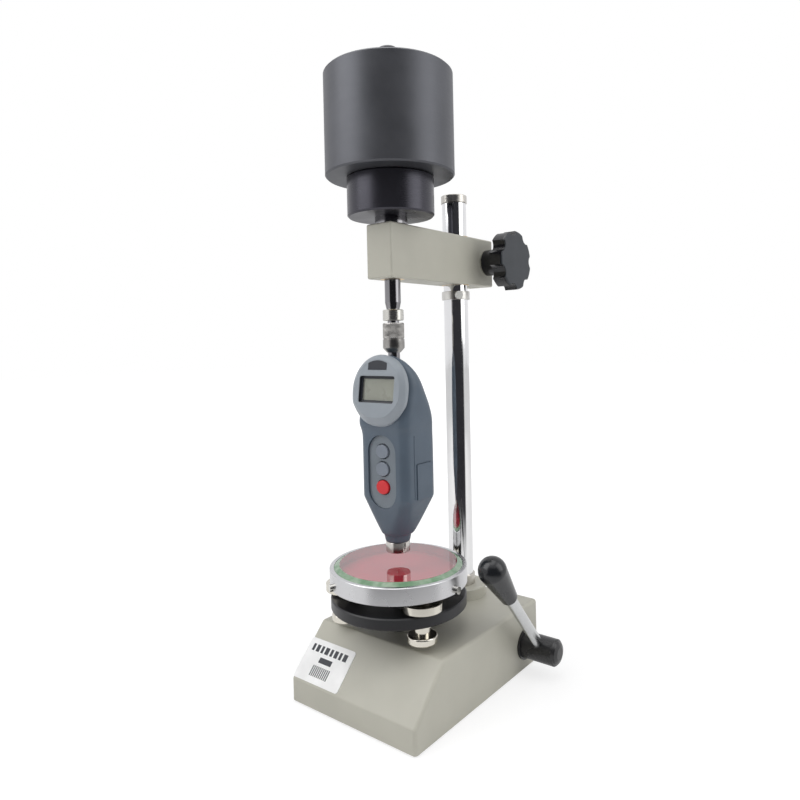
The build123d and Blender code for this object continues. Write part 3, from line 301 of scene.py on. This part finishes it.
finishes = {
    "stand_paint": painted("stand_paint_look", BEIGE),
    "cover_steel": painted("cover_look", (0.16, 0.16, 0.16), 0.5),
    "screw_steel": bright("screw_look", (0.66, 0.65, 0.61), 0.18),
    "foot_rubber": moulded("foot_rubber_look", (0.02, 0.02, 0.02), 0.75, 0.3, 0.25),
    "column_chrome": bright("column_look", (0.80, 0.80, 0.80), 0.07),
    "cap_nickel": turned("cap_look", (0.56, 0.54, 0.50), 0.30),
    "collar_steel": turned("collar_look", (0.50, 0.48, 0.44), 0.32),
    "bush_brass": turned("bush_look", (0.72, 0.52, 0.24), 0.3),
    "label_plastic": moulded("label_look", (0.86, 0.86, 0.85), 0.38, 0.03),
    "shaft_steel": turned("shaft_look", (0.56, 0.56, 0.56), 0.25, axis="X"),
    "hub_black": moulded("hub_look", (0.018, 0.018, 0.019), 0.28, 0.05, 0.5),
    "rod_chrome": bright("rod_look", (0.58, 0.59, 0.59), 0.20),
    "grip_plastic": moulded("grip_look", (0.010, 0.011, 0.013), 0.22, 0.03, 0.5),
    "disc_black": turned("disc_look", (0.008, 0.008, 0.010), 0.36, 3000, 0.05, "Z", 0.1),
    "level_nickel": bright("level_look", (0.68, 0.65, 0.575), 0.13),
    "tray_aluminium": turned("tray_look", (0.70, 0.70, 0.71), 0.35),
    "ring_chrome": bright("ring_look", (0.60, 0.60, 0.61), 0.24, 0.08),
    "backing_red": moulded("backing_look", BACKING_RED, 0.5, 0.02, 0.2),
    "stop_steel": turned("stop_look", (0.60, 0.59, 0.56), 0.3),
    "knob_plastic": knob_look(),
    "spindle_chrome": bright("spindle_look", (0.26, 0.255, 0.265), 0.12),
    "weight_steel": turned("weight_look", (0.098, 0.101, 0.112), 0.44, 2200, 0.10, "Z", 0.7),
    "top_knob_chrome": turned("top_knob_look", (0.070, 0.070, 0.076), 0.34, 2200, 0.05, "Z", 0.7),
    "sleeve_nickel": turned("sleeve_look", (0.60, 0.59, 0.55), 0.26, 2600, 0.05),
    "housing_plastic": moulded("housing_look", (0.080, 0.108, 0.142), 0.40, 0.05, 0.45),
    "bezel_plastic": moulded("bezel_look", (0.275, 0.305, 0.335), 0.40, 0.04, 0.45),
    "badge_black": moulded("badge_look", (0.020, 0.023, 0.030), 0.32, 0.04, 0.4),
    "lcd_grey": moulded("lcd_look", (0.315, 0.315, 0.270), 0.30, 0.01, 0.4),
    "window_glass": clear_glass("window_look", (0.97, 0.98, 0.97), 0.03, 1.45),
    "platen_glass": platen_glass_look(),
    "keypad_plastic": moulded("keypad_look", (0.165, 0.190, 0.215), 0.45, 0.06, 0.4),
    "button_grey": moulded("button_grey_look", (0.185, 0.210, 0.250), 0.36, 0.08, 0.45),
    "button_red": moulded("button_red_look", (0.60, 0.018, 0.024), 0.36, 0.06, 0.45),
    "foot_nickel": bright("presser_look", (0.60, 0.57, 0.54), 0.12),
    "spring_steel": bright("spring_look", STEEL, 0.2),
}


# Nodes that look unlike the rest of their slot
own_looks = {
    "small_weight": turned("small_weight_look", (0.050, 0.049, 0.060), 0.30, 2200, 0.08, "Z", 0.7),
    "stop_screw": moulded("stop_screw_look", (0.60, 0.60, 0.57), 0.35, 0.02, 0.5),
}


def dress(obj, material):
    obj.data.materials.clear()
    obj.data.materials.append(material)


for part in frame["record"]["subparts"]:
    node = nodes[part["node"]]
    look = own_looks.get(part["node"], finishes[part["material_slot"]])
    if not node.material_slots:
        node.data.materials.append(look)
    for place in node.material_slots:
        place.link = "OBJECT"
        place.material = look

# ---------------------------------------------------------------------- pieces
# Lengths are millimetres in the part's frame until a mesh is made.
AXIS_Y = -25.0


def link(obj):
    bpy.context.scene.collection.objects.link(obj)
    return obj


def mesh_object(name, points, faces):
    """An object from points in millimetres, with its faces turned outwards."""
    mesh = bpy.data.meshes.new(name)
    mesh.from_pydata([tuple(c * MM for c in p) for p in points], [], faces)
    mesh.validate()
    shape = bmesh.new()
    shape.from_mesh(mesh)
    bmesh.ops.recalc_face_normals(shape, faces=shape.faces)
    shape.to_mesh(mesh)
    shape.free()
    return link(bpy.data.objects.new(name, mesh))


def piece_from(name, points, faces, body, slot, stands_for=None, smooth_deg=35, look=None):
    """A piece of the object, shaded smooth up to an angle."""
    obj = mesh_object(name, points, faces)
    obj.data.materials.append(look or finishes[slot])
    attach(obj, body)
    if stands_for:
        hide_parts(stands_for)
    soften(obj, smooth_deg)
    return obj


def soften(obj, smooth_deg):
    """Shade smooth, with edges above the angle kept sharp."""
    obj.data.shade_smooth()
    obj.data.set_sharp_from_angle(angle=math.radians(smooth_deg))


def apply_modifiers(obj):
    """Keep the mesh as its modifiers leave it."""
    graph = bpy.context.evaluated_depsgraph_get()
    made = bpy.data.meshes.new_from_object(obj.evaluated_get(graph))
    obj.modifiers.clear()
    old = obj.data
    obj.data = made
    bpy.data.meshes.remove(old)


def skin(rings, closed_ends=True):
    """Points and faces of a surface through closed rings of equal count."""
    count = len(rings[0])
    points = [p for ring in rings for p in ring]
    faces = []
    for low in range(len(rings) - 1):
        for k in range(count):
            nxt = (k + 1) % count
            a, b = low * count, (low + 1) * count
            faces.append((a + k, a + nxt, b + nxt, b + k))
    if closed_ends:
        faces.append(tuple(reversed(range(count))))
        faces.append(tuple(range((len(rings) - 1) * count, len(rings) * count)))
    return points, faces


def rounded_ring(z, half_w, front, rear, corner, steps=5):
    """A rounded rectangle at a height; front and rear are measured from the spindle axis."""
    corner = min(corner, half_w - 0.05, (front + rear) / 2 - 0.05)
    ring = []
    places = (
        (half_w - corner, rear - corner, 0),
        (corner - half_w, rear - corner, 90),
        (corner - half_w, corner - front, 180),
        (half_w - corner, corner - front, 270),
    )
    for cx, cy, start in places:
        for k in range(steps + 1):
            turn = math.radians(start + 90 * k / steps)
            ring.append((cx + corner * math.cos(turn), AXIS_Y + cy + corner * math.sin(turn), z))
    return ring


def cut(obj, cutter):
    """Take one closed mesh out of another."""
    tool = obj.modifiers.new("cut", "BOOLEAN")
    tool.operation = "DIFFERENCE"
    tool.solver = "EXACT"
    tool.object = cutter
    bpy.context.view_layer.update()
    apply_modifiers(obj)
    bpy.data.objects.remove(cutter)


# Durometer housing: (height, half width, front, rear, corner radius)
HOUSING_RINGS = (
    (113.5, 8.9, 8.9, 8.9, 8.8),
    (113.9, 9.2, 9.2, 9.2, 9.1),
    (118.7, 10.2, 10.2, 10.2, 10.1),
    (119.2, 10.4, 10.4, 10.4, 10.3),
    (119.5, 11.4, 11.4, 12.4, 11.2),
    (120.2, 11.9, 11.9, 13.2, 11.4),
    (128.0, 15.1, 13.2, 15.8, 10.0),
    (137.0, 18.8, 14.8, 18.3, 9.2),
    (145.2, 22.1, 16.2, 20.7, 8.4),
    (146.6, 22.5, 16.5, 21.0, 8.0),
    (150.0, 22.5, 16.5, 21.0, 8.0),
    (168.0, 22.5, 16.5, 21.0, 8.0),
    (186.0, 22.5, 16.5, 21.0, 8.0),
    (192.0, 22.6, 16.6, 20.7, 8.2),
    (196.0, 23.1, 17.4, 20.2, 8.5),
    (199.0, 23.7, 18.7, 19.8, 8.8),
    (202.0, 24.2, 18.8, 19.3, 9.2),
    (205.0, 24.5, 18.2, 18.7, 9.5),
    (208.0, 24.7, 17.4, 18.0, 9.8),
    (215.0, 24.8, 16.4, 15.9, 10.8),
    (221.5, 24.8, 15.5, 13.0, 12.0),
    (228.5, 24.7, 14.5, 9.4, 11.6),
    (234.0, 23.7, 13.7, 5.6, 9.6),
    (238.5, 21.9, 13.1, 2.2, 7.6),
    (242.5, 19.2, 12.5, -1.6, 5.4),
    (245.0, 16.8, 12.2, -3.9, 4.1),
    (247.0, 14.0, 11.9, -5.6, 3.1),
    (249.0, 10.5, 11.6, -8.2, 1.6),
    (250.2, 7.0, 11.4, -9.9, 0.7),
)


# The seam between the housing's two halves
SEAM_X = 22.5
SEAM_DEEP = 0.4
SEAM_BEFORE_AXIS = 6.3
SEAM_W = 0.5
SEAM_Z = (147.0, 193.0)
# How far the cutters reach: before the spindle's axis, and to each side of it
CUT_FRONT = 18.0
CUT_SIDE = 30.0
COVER_GAP = 0.25
ROUNDING_LEVELS = 2
HOUSING_SMOOTH_DEG = 32


def make_housing():
    points, faces = skin([rounded_ring(*ring) for ring in HOUSING_RINGS])
    housing = piece_from("housing_shell", points, faces, "spindle", "housing_plastic", "duro_housing")
    rounder = housing.modifiers.new("round", "SUBSURF")
    rounder.levels = ROUNDING_LEVELS
    rounder.render_levels = ROUNDING_LEVELS
    bpy.context.view_layer.update()
    apply_modifiers(housing)
    low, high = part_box("keypad_panel")
    cut(housing, stadium_block(low / MM, high / MM, AXIS_Y - CUT_FRONT, high.y / MM))
    low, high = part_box("side_cover")
    start = (low.x / MM, low.y / MM - COVER_GAP, low.z / MM - COVER_GAP)
    cut(housing, box_block(start, (CUT_SIDE, high.y / MM + COVER_GAP, high.z / MM + COVER_GAP)))
    for side in (-1, 1):
        cut(housing, seam_block(side))
    soften(housing, HOUSING_SMOOTH_DEG)


def seam_block(side):
    inner, outer = sorted((side * (SEAM_X - SEAM_DEEP), side * CUT_SIDE))
    rear_y = AXIS_Y - SEAM_BEFORE_AXIS
    return box_block((inner, rear_y - SEAM_W, SEAM_Z[0]), (outer, rear_y, SEAM_Z[1]))


KEYPAD_GAP = 0.15
HALF_ROUND_STEPS = 24


def stadium_block(low, high, y0, y1):
    """A block with half-round ends that spans the keypad's outline."""
    half_w = (high.x - low.x) / 2 + KEYPAD_GAP
    ends = ((high.z + KEYPAD_GAP - half_w, 0), (low.z - KEYPAD_GAP + half_w, math.pi))
    outline = []
    for centre_z, start in ends:
        for k in range(HALF_ROUND_STEPS + 1):
            turn = start + math.pi * k / HALF_ROUND_STEPS
            outline.append((half_w * math.cos(turn), centre_z + half_w * math.sin(turn)))
    rings = [[(x, y, z) for x, z in outline] for y in (y0, y1)]
    return mesh_object("keypad_cutter", *skin(rings))


def box_block(low, high):
    (x0, y0, z0), (x1, y1, z1) = low, high
    rings = [[(x0, y0, z), (x1, y0, z), (x1, y1, z), (x0, y1, z)] for z in (z0, z1)]
    return mesh_object("block_cutter", *skin(rings))


# Bezel: the head's front plate, leaning back, in its own plane
BEZEL_FRONT = 21.2
BEZEL_MID_Z = 226.4
BEZEL_TILT = math.radians(8.0)
BEZEL_HALF_W = 25.4
BEZEL_T = 7.0
FACE_SUNK = 0.25
# Display opening: width, height, corner radius
WINDOW = (33.0, 19.2, 1.5)
LEAST_CORNER = 0.3
WINDOW_DEPTH = 2.8


def on_bezel(u, v, depth):
    """A point of the leaning plate: u across, v up the plate, depth behind its front."""
    lean, drop = math.sin(BEZEL_TILT), math.cos(BEZEL_TILT)
    return (u, AXIS_Y - BEZEL_FRONT + v * lean + depth * drop, BEZEL_MID_Z + v * drop - depth * lean)


def arc(centre, radius, start_deg, step_deg, steps):
    turns = [math.radians(start_deg + step_deg * k) for k in range(steps + 1)]
    return [(centre[0] + radius * math.cos(t), centre[1] + radius * math.sin(t)) for t in turns]


def head_outline():
    """Half a circle above; below it short upright sides, diagonals and a chin."""
    left = bezier_chain(HEAD_LEFT)
    right = [(-u, v) for u, v in reversed(left)]
    return arc((0, 0), BEZEL_HALF_W, 0, 3, 60) + left[1:] + right[1:-1]


# The left half below the middle: each stretch is a start, two handles and an end
HEAD_LEFT = (
    ((-25.4, 0.0), (-25.4, -5.0), (-25.0, -9.5), (-23.6, -11.6)),
    ((-23.6, -11.6), (-21.5, -15.0), (-19.0, -18.3), (-16.3, -20.9)),
    ((-16.3, -20.9), (-11.5, -25.4), (-6.0, -26.4), (0.0, -26.4)),
)


def bezier_chain(stretches, steps=14):
    line = [stretches[0][0]]
    for a, b, c, d in stretches:
        for k in range(1, steps + 1):
            t = k / steps
            weights = ((1 - t) ** 3, 3 * t * (1 - t) ** 2, 3 * t * t * (1 - t), t**3)
            line.append(tuple(sum(w * p[axis] for w, p in zip(weights, (a, b, c, d))) for axis in (0, 1)))
    return line


def window_outline(inset=0.0):
    half_w, half_h = WINDOW[0] / 2 - inset, WINDOW[1] / 2 - inset
    corner = max(WINDOW[2] - inset, LEAST_CORNER)
    line = []
    for sx, sy, start in ((1, 1, 0), (-1, 1, 90), (-1, -1, 180), (1, -1, 270)):
        line += arc((sx * (half_w - corner), sy * (half_h - corner)), corner, start, 15, 6)
    return line


def reach(outline, turn):
    """How far a convex outline lies from its centre at an angle."""
    dx, dy = math.cos(turn), math.sin(turn)
    count = len(outline)
    best = 0.0
    for k in range(count):
        ax, ay = outline[k]
        bx, by = outline[(k + 1) % count]
        ex, ey = bx - ax, by - ay
        cross = dx * ey - dy * ex
        if abs(cross) < 1e-12:
            continue
        away = (ax * ey - ay * ex) / cross
        along = (ax * dy - ay * dx) / cross
        if away > 0 and -1e-9 <= along <= 1 + 1e-9:
            best = max(best, away)
    return best


ROUND_TURNS = 120
CORNER_TURNS = 5
CORNER_STEP = 0.012


def head_turns():
    """Angles round the plate, closer together at the display's corners."""
    corner = math.atan2(WINDOW[1], WINDOW[0])
    turns = [2 * math.pi * k / ROUND_TURNS for k in range(ROUND_TURNS)]
    for centre in (corner, math.pi - corner, math.pi + corner, -corner):
        near = range(-CORNER_TURNS, CORNER_TURNS + 1)
        turns += [(centre + d * CORNER_STEP) % (2 * math.pi) for d in near]
    return sorted(set(round(t, 6) for t in turns))


def ring_on_bezel(turns, radii, depths):
    return [on_bezel(r * math.cos(t), r * math.sin(t), d) for r, t, d in zip(radii, turns, depths)]


BEVEL_LEAST = 3.7
CHIN_MORE = 2.6


def edge_width(turn):
    """The width of the plate's bevelled edge: greatest under the chin."""
    under = max(0.0, -math.sin(turn))
    return BEVEL_LEAST + CHIN_MORE * under**2.5


# The bevelled edge, from the face outwards: shares of its width and depth
EDGE_STEPS = ((0.0, 0.0), (0.06, 0.05), (0.45, 0.34), (0.84, 0.64), (0.95, 0.80), (1.0, 1.0))


WINDOW_EDGE = 0.25
# Bezel rear edge: how far it draws in, and how far before the back
REAR_EDGE = ((0.15, 0.5), (0.7, 0.0))


def make_bezel():
    turns = head_turns()
    head = [reach(head_outline(), t) for t in turns]
    window = [reach(window_outline(), t) for t in turns]
    widths = [edge_width(t) for t in turns]

    def ring(radii, depth):
        return ring_on_bezel(turns, radii, [depth] * len(turns))

    rings = [
        ring(window, WINDOW_DEPTH),
        ring(window, FACE_SUNK + WINDOW_EDGE),
        ring([r + WINDOW_EDGE for r in window], FACE_SUNK),
    ]
    for share in (0.25, 0.6):
        rings.append(ring([w + (h - e - w) * share for w, h, e in zip(window, head, widths)], FACE_SUNK))
    for out, back in EDGE_STEPS:
        radii = [h - e * (1 - out) for h, e in zip(head, widths)]
        rings.append(ring_on_bezel(turns, radii, [FACE_SUNK + e * back for e in widths]))
    for drawn_in, before in REAR_EDGE:
        rings.append(ring([h - drawn_in for h in head], BEZEL_T - before))
    points, faces = skin(rings, closed_ends=False)
    piece_from("bezel_shell", points, faces, "spindle", "bezel_plastic", "duro_bezel", 30)


# The surround's section: inset from the opening, and depth
FRAME_SECTION = (
    (0.03, FACE_SUNK + 0.45),
    (0.03, WINDOW_DEPTH - 0.25),
    (0.35, WINDOW_DEPTH - 0.1),
    (1.7, WINDOW_DEPTH - 0.1),
    (1.8, WINDOW_DEPTH),
)


def make_display_frame():
    """The black surround that lines the display's recess."""
    turns = head_turns()
    rings = []
    for inset, depth in FRAME_SECTION:
        radii = [reach(window_outline(inset), t) for t in turns]
        rings.append(ring_on_bezel(turns, radii, [depth] * len(turns)))
    points, faces = skin(rings, closed_ends=False)
    piece_from("display_frame", points, faces, "spindle", "badge_black", None, 30)


# Coupling sleeve: diamond knurling round its upper half
SLEEVE_R = 8.0
SLEEVE_BORE = 4.5
FLUTES = 36
KNURL_DEPTH = 0.40
KNURL_ROWS = 30
KNURL_PITCH = 2 * math.pi / 1.5
POINTS_PER_FLUTE = 6


def about_axis(radius, turn, z):
    """A point at a radius and angle round the spindle's axis."""
    return (radius * math.cos(turn), AXIS_Y + radius * math.sin(turn), z)


def even_turns(count):
    return [2 * math.pi * k / count for k in range(count)]


def knurl(turn, z):
    """How far the surface lies below the knurl's points, from none to all of its depth."""
    waves = (math.cos(FLUTES * turn + KNURL_PITCH * z), math.cos(FLUTES * turn - KNURL_PITCH * z))
    return 1 - (0.5 + 0.5 * min(waves)) ** 0.6


def sleeve_profile(z0, z1):
    """Radius and height up the sleeve, and whether it is knurled there."""
    low = [
        (SLEEVE_BORE, z0, 0),
        (5.0, z0, 0),
        (7.7, z0 + 3.0, 0),
        (SLEEVE_R, z0 + 3.6, 0),
        (SLEEVE_R, z0 + 9.6, 0),
        (SLEEVE_R - 0.5, z0 + 9.9, 0),
        (SLEEVE_R - 0.5, z0 + 10.4, 0),
    ]
    start, end = z0 + 10.7, z1 - 0.9
    step = (end - start) / (KNURL_ROWS - 1)
    middle = [(SLEEVE_R - 0.05, start + step * k, 1) for k in range(KNURL_ROWS)]
    return low + middle + [(SLEEVE_R - 0.7, z1, 0), (SLEEVE_BORE, z1, 0)]


def make_sleeve():
    low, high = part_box("coupling_sleeve")
    turns = even_turns(FLUTES * POINTS_PER_FLUTE)
    rings = []
    for radius, z, knurled in sleeve_profile(low.z / MM, high.z / MM):
        rings.append([about_axis(radius - knurled * KNURL_DEPTH * knurl(t, z), t, z) for t in turns])
    rings.append(rings[0])
    points, faces = skin(rings, closed_ends=False)
    look = turned("knurled_look", (0.36, 0.35, 0.335), 0.30, 2600, 0.05)
    piece_from("sleeve_knurled", points, faces, "sleeve", "sleeve_nickel", "coupling_sleeve", 40, look)


# Platen glass: a turned disc with a bevelled upper edge, just clear of its backing
BEVEL_W = 4.0
BEVEL_H = 2.0
GLASS_SEGMENTS = 180
GLASS_LIFT = 0.06


def make_glass():
    low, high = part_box("platen_glass")
    radius = (high.x - low.x) / 2 / MM
    z0, z1 = low.z / MM + GLASS_LIFT, high.z / MM
    profile = ((radius, z0), (radius, z1 - BEVEL_H), (radius - BEVEL_W, z1))
    rings = [[about_axis(r, t, z) for t in even_turns(GLASS_SEGMENTS)] for r, z in profile]
    points, faces = skin(rings)
    piece_from("glass_plate", points, faces, "tray", "platen_glass", "platen_glass", 15)


# Label print: plain bars in rows, lying on the label plate
LABEL_ROWS = (
    # from the left edge, from the top edge, width, height (shares of the plate)
    (0.10, 0.13, 0.055, 0.17),
    (0.19, 0.13, 0.075, 0.17),
    (0.30, 0.13, 0.055, 0.17),
    (0.39, 0.13, 0.085, 0.17),
    (0.51, 0.13, 0.055, 0.17),
    (0.60, 0.13, 0.075, 0.17),
    (0.71, 0.13, 0.055, 0.17),
    (0.80, 0.13, 0.085, 0.17),
    (0.36, 0.39, 0.28, 0.13),
)
STRIPES = 10
# The block of stripes: left and top edges, width and height (shares of the plate)
STRIPE_BLOCK = (0.30, 0.60, 0.40, 0.25)
# The share of a stripe's pitch that is black
STRIPE_SHARE = 0.55
LABEL_T = 0.4
PRINT_LIFT = 0.42


def label_marks():
    left, top, width, height = STRIPE_BLOCK
    pitch = width / STRIPES
    stripes = [(left + pitch * k, top, pitch * STRIPE_SHARE, height) for k in range(STRIPES)]
    return list(LABEL_ROWS) + stripes


def make_label_print():
    low, high = (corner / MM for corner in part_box("label_plate"))
    width = high.x - low.x
    slope = math.atan2(high.z - low.z, high.y - low.y)
    length = math.hypot(high.z - low.z, high.y - low.y) - LABEL_T

    def spot(share_x, share_down):
        up = length * (1 - share_down)
        y = low.y + up * math.cos(slope) + (LABEL_T - PRINT_LIFT) * math.sin(slope)
        z = low.z + up * math.sin(slope) + PRINT_LIFT * math.cos(slope)
        return (low.x + width * share_x, y, z)

    points, faces = [], []
    for x, down, w, h in label_marks():
        first = len(points)
        points += [spot(x, down + h), spot(x + w, down + h), spot(x + w, down), spot(x, down)]
        faces.append((first, first + 1, first + 2, first + 3))
    piece_from("label_bars", points, faces, "stand", "badge_black")


make_housing()
make_bezel()
make_display_frame()
make_sleeve()
make_glass()
make_label_print()

# ---------------------------------------------------------------------- camera
# Metres and degrees; the lens is in millimetres on a full-frame sensor
CAMERA_AT = Vector((0.313861, -0.393535, 0.259043))
CAMERA_YAW = math.radians(37.9215)
CAMERA_PITCH = math.radians(-0.5795)
CAMERA_ROLL = math.radians(-1.1994)
CAMERA_LENS = 29.486
SENSOR_W = 36
CAMERA_SHIFT = (-0.02814, -0.06345)


def make_camera():
    yaw, pitch, roll = CAMERA_YAW, CAMERA_PITCH, CAMERA_ROLL
    ahead = Vector((-math.sin(yaw) * math.cos(pitch), math.cos(yaw) * math.cos(pitch), math.sin(pitch)))
    level = Vector((math.cos(yaw), math.sin(yaw), 0))
    over = level.cross(ahead)
    right = level * math.cos(roll) + over * math.sin(roll)
    up = over * math.cos(roll) - level * math.sin(roll)
    data = bpy.data.cameras.new("camera")
    data.sensor_width = SENSOR_W
    data.lens = CAMERA_LENS
    data.shift_x, data.shift_y = CAMERA_SHIFT
    data.clip_start = 0.01
    camera = link(bpy.data.objects.new("camera", data))
    camera.matrix_world = Matrix.Translation(CAMERA_AT) @ Matrix((right, up, -ahead)).transposed().to_4x4()
    bpy.context.scene.camera = camera


make_camera()

# ---------------------------------------------------------- floor, world, lamps
# The studio's dark side, towards the viewer and a little to the right
CARD_YAW = CAMERA_YAW + math.radians(8)
CARD_TOWARDS = Vector((math.sin(CARD_YAW), -math.cos(CARD_YAW), 0))
CARD_EDGE = (0.55, 0.68)
FLOOR_SIZE = 6.0
FLOOR_DROP = 0.0002
# Seen directly, the floor fades into the white background from near to far
FADE_SHARES = (0.62, 1.0)
FADE_AT = (0.2, 0.75)
FLOOR_WHITE = 1.17
MIRRORED_WHITE = 0.35


def make_floor():
    mesh = bpy.data.meshes.new("floor")
    shape = bmesh.new()
    bmesh.ops.create_grid(shape, x_segments=8, y_segments=8, size=FLOOR_SIZE)
    shape.to_mesh(mesh)
    shape.free()
    floor = link(bpy.data.objects.new("floor", mesh))
    floor.location.z = -FLOOR_DROP
    dress(floor, floor_look())


def floor_look():
    """Plain pale floor that keeps the object's shadow."""
    material, tree, shader, coords = new_material("floor_look")
    pale = two_colours(tree, noise(tree, coords, 3, 3), (0.86, 0.86, 0.86), (0.9, 0.9, 0.9))
    tree.links.new(pale, shader.inputs["Base Color"])
    shader.inputs["Roughness"].default_value = 0.8
    white = tree.nodes.new("ShaderNodeEmission")
    white.inputs["Strength"].default_value = FLOOR_WHITE
    path = tree.nodes.new("ShaderNodeLightPath")
    fade = map_range(tree, vector_maths(tree, "LENGTH", coords), *FADE_SHARES, *FADE_AT)
    seen = maths(tree, "MULTIPLY", path.outputs["Is Camera Ray"], fade)
    shiny = maths(tree, "MULTIPLY", path.outputs["Is Glossy Ray"], MIRRORED_WHITE)
    share = maths(tree, "MAXIMUM", seen, shiny)
    lit = mix_shaders(tree, share, shader.outputs["BSDF"], white.outputs["Emission"])
    surface = darken_for_metal(tree, coords, path, lit)
    tree.links.new(surface, tree.nodes["Material Output"].inputs["Surface"])
    return material


def darken_for_metal(tree, coords, path, lit):
    """Bright metal also mirrors the dark side of the studio where it meets the floor."""
    dark = tree.nodes.new("ShaderNodeEmission")
    dark.inputs["Color"].default_value = (0.03, 0.03, 0.035, 1)
    facing, away = bearing(tree, coords)
    across = map_range(tree, facing, 0, 1, *CARD_EDGE)
    share = maths(tree, "MULTIPLY", across, map_range(tree, away, 0, 1, 0.20, 0.45))
    shiny = maths(tree, "MULTIPLY", path.outputs["Is Glossy Ray"], share)
    return mix_shaders(tree, shiny, lit, dark.outputs["Emission"])


def bearing(tree, coords):
    """How squarely a point or direction lies on the dark side, and its distance in plan."""
    flat = vector_maths(tree, "MULTIPLY", coords, (1, 1, 0))
    unit = vector_maths(tree, "NORMALIZE", flat)
    facing = vector_maths(tree, "DOT_PRODUCT", unit, CARD_TOWARDS)
    return facing, vector_maths(tree, "LENGTH", flat)


WORLD_DIFFUSE = 0.50


def make_world():
    """White studio walls with one dark side, behind the viewer, for the metal to mirror."""
    world = bpy.data.worlds.new("studio")
    bpy.context.scene.world = world
    world.use_nodes = True
    tree = world.node_tree
    background = tree.nodes["Background"]
    coords = tree.nodes.new("ShaderNodeTexCoord").outputs["Generated"]
    facing = bearing(tree, coords)[0]
    height = tree.nodes.new("ShaderNodeSeparateXYZ")
    tree.links.new(coords, height.inputs[0])
    across = map_range(tree, facing, 0, 1, *CARD_EDGE)
    below = map_range(tree, height.outputs["Z"], 1, 0, 0.55, 0.75)
    card = maths(tree, "MULTIPLY", across, below)
    mirrored = mix_colour(tree, card, (0.93, 0.93, 0.95), (0.035, 0.035, 0.04))
    path = tree.nodes.new("ShaderNodeLightPath")
    shiny = maths(tree, "MAXIMUM", path.outputs["Is Glossy Ray"], path.outputs["Is Transmission Ray"])
    soft = (WORLD_DIFFUSE, WORLD_DIFFUSE, WORLD_DIFFUSE * 1.02)
    colour = mix_colour(tree, shiny, soft, mirrored)
    colour = mix_colour(tree, path.outputs["Is Camera Ray"], colour, WHITE)
    tree.links.new(colour, background.inputs["Color"])
    background.inputs["Strength"].default_value = 1.0


def lamp(name, at, towards, size, power):
    data = bpy.data.lights.new(name, "AREA")
    data.shape = "RECTANGLE"
    data.size, data.size_y = size
    data.energy = power
    obj = link(bpy.data.objects.new(name, data))
    obj.location = at
    obj.rotation_euler = (Vector(towards) - Vector(at)).to_track_quat("-Z", "Y").to_euler()


make_floor()
make_world()
lamp("key", (-0.55, -0.85, 1.05), (0, 0, 0.2), (0.9, 1.1), 7.0)
lamp("fill", (1.0, 0.25, 0.75), (0, 0, 0.2), (0.8, 1.1), 4.4)
lamp("top", (0.0, -0.1, 1.4), (0, 0, 0), (1.0, 1.0), 4.8)

bpy.context.scene.view_settings.view_transform = "Standard"
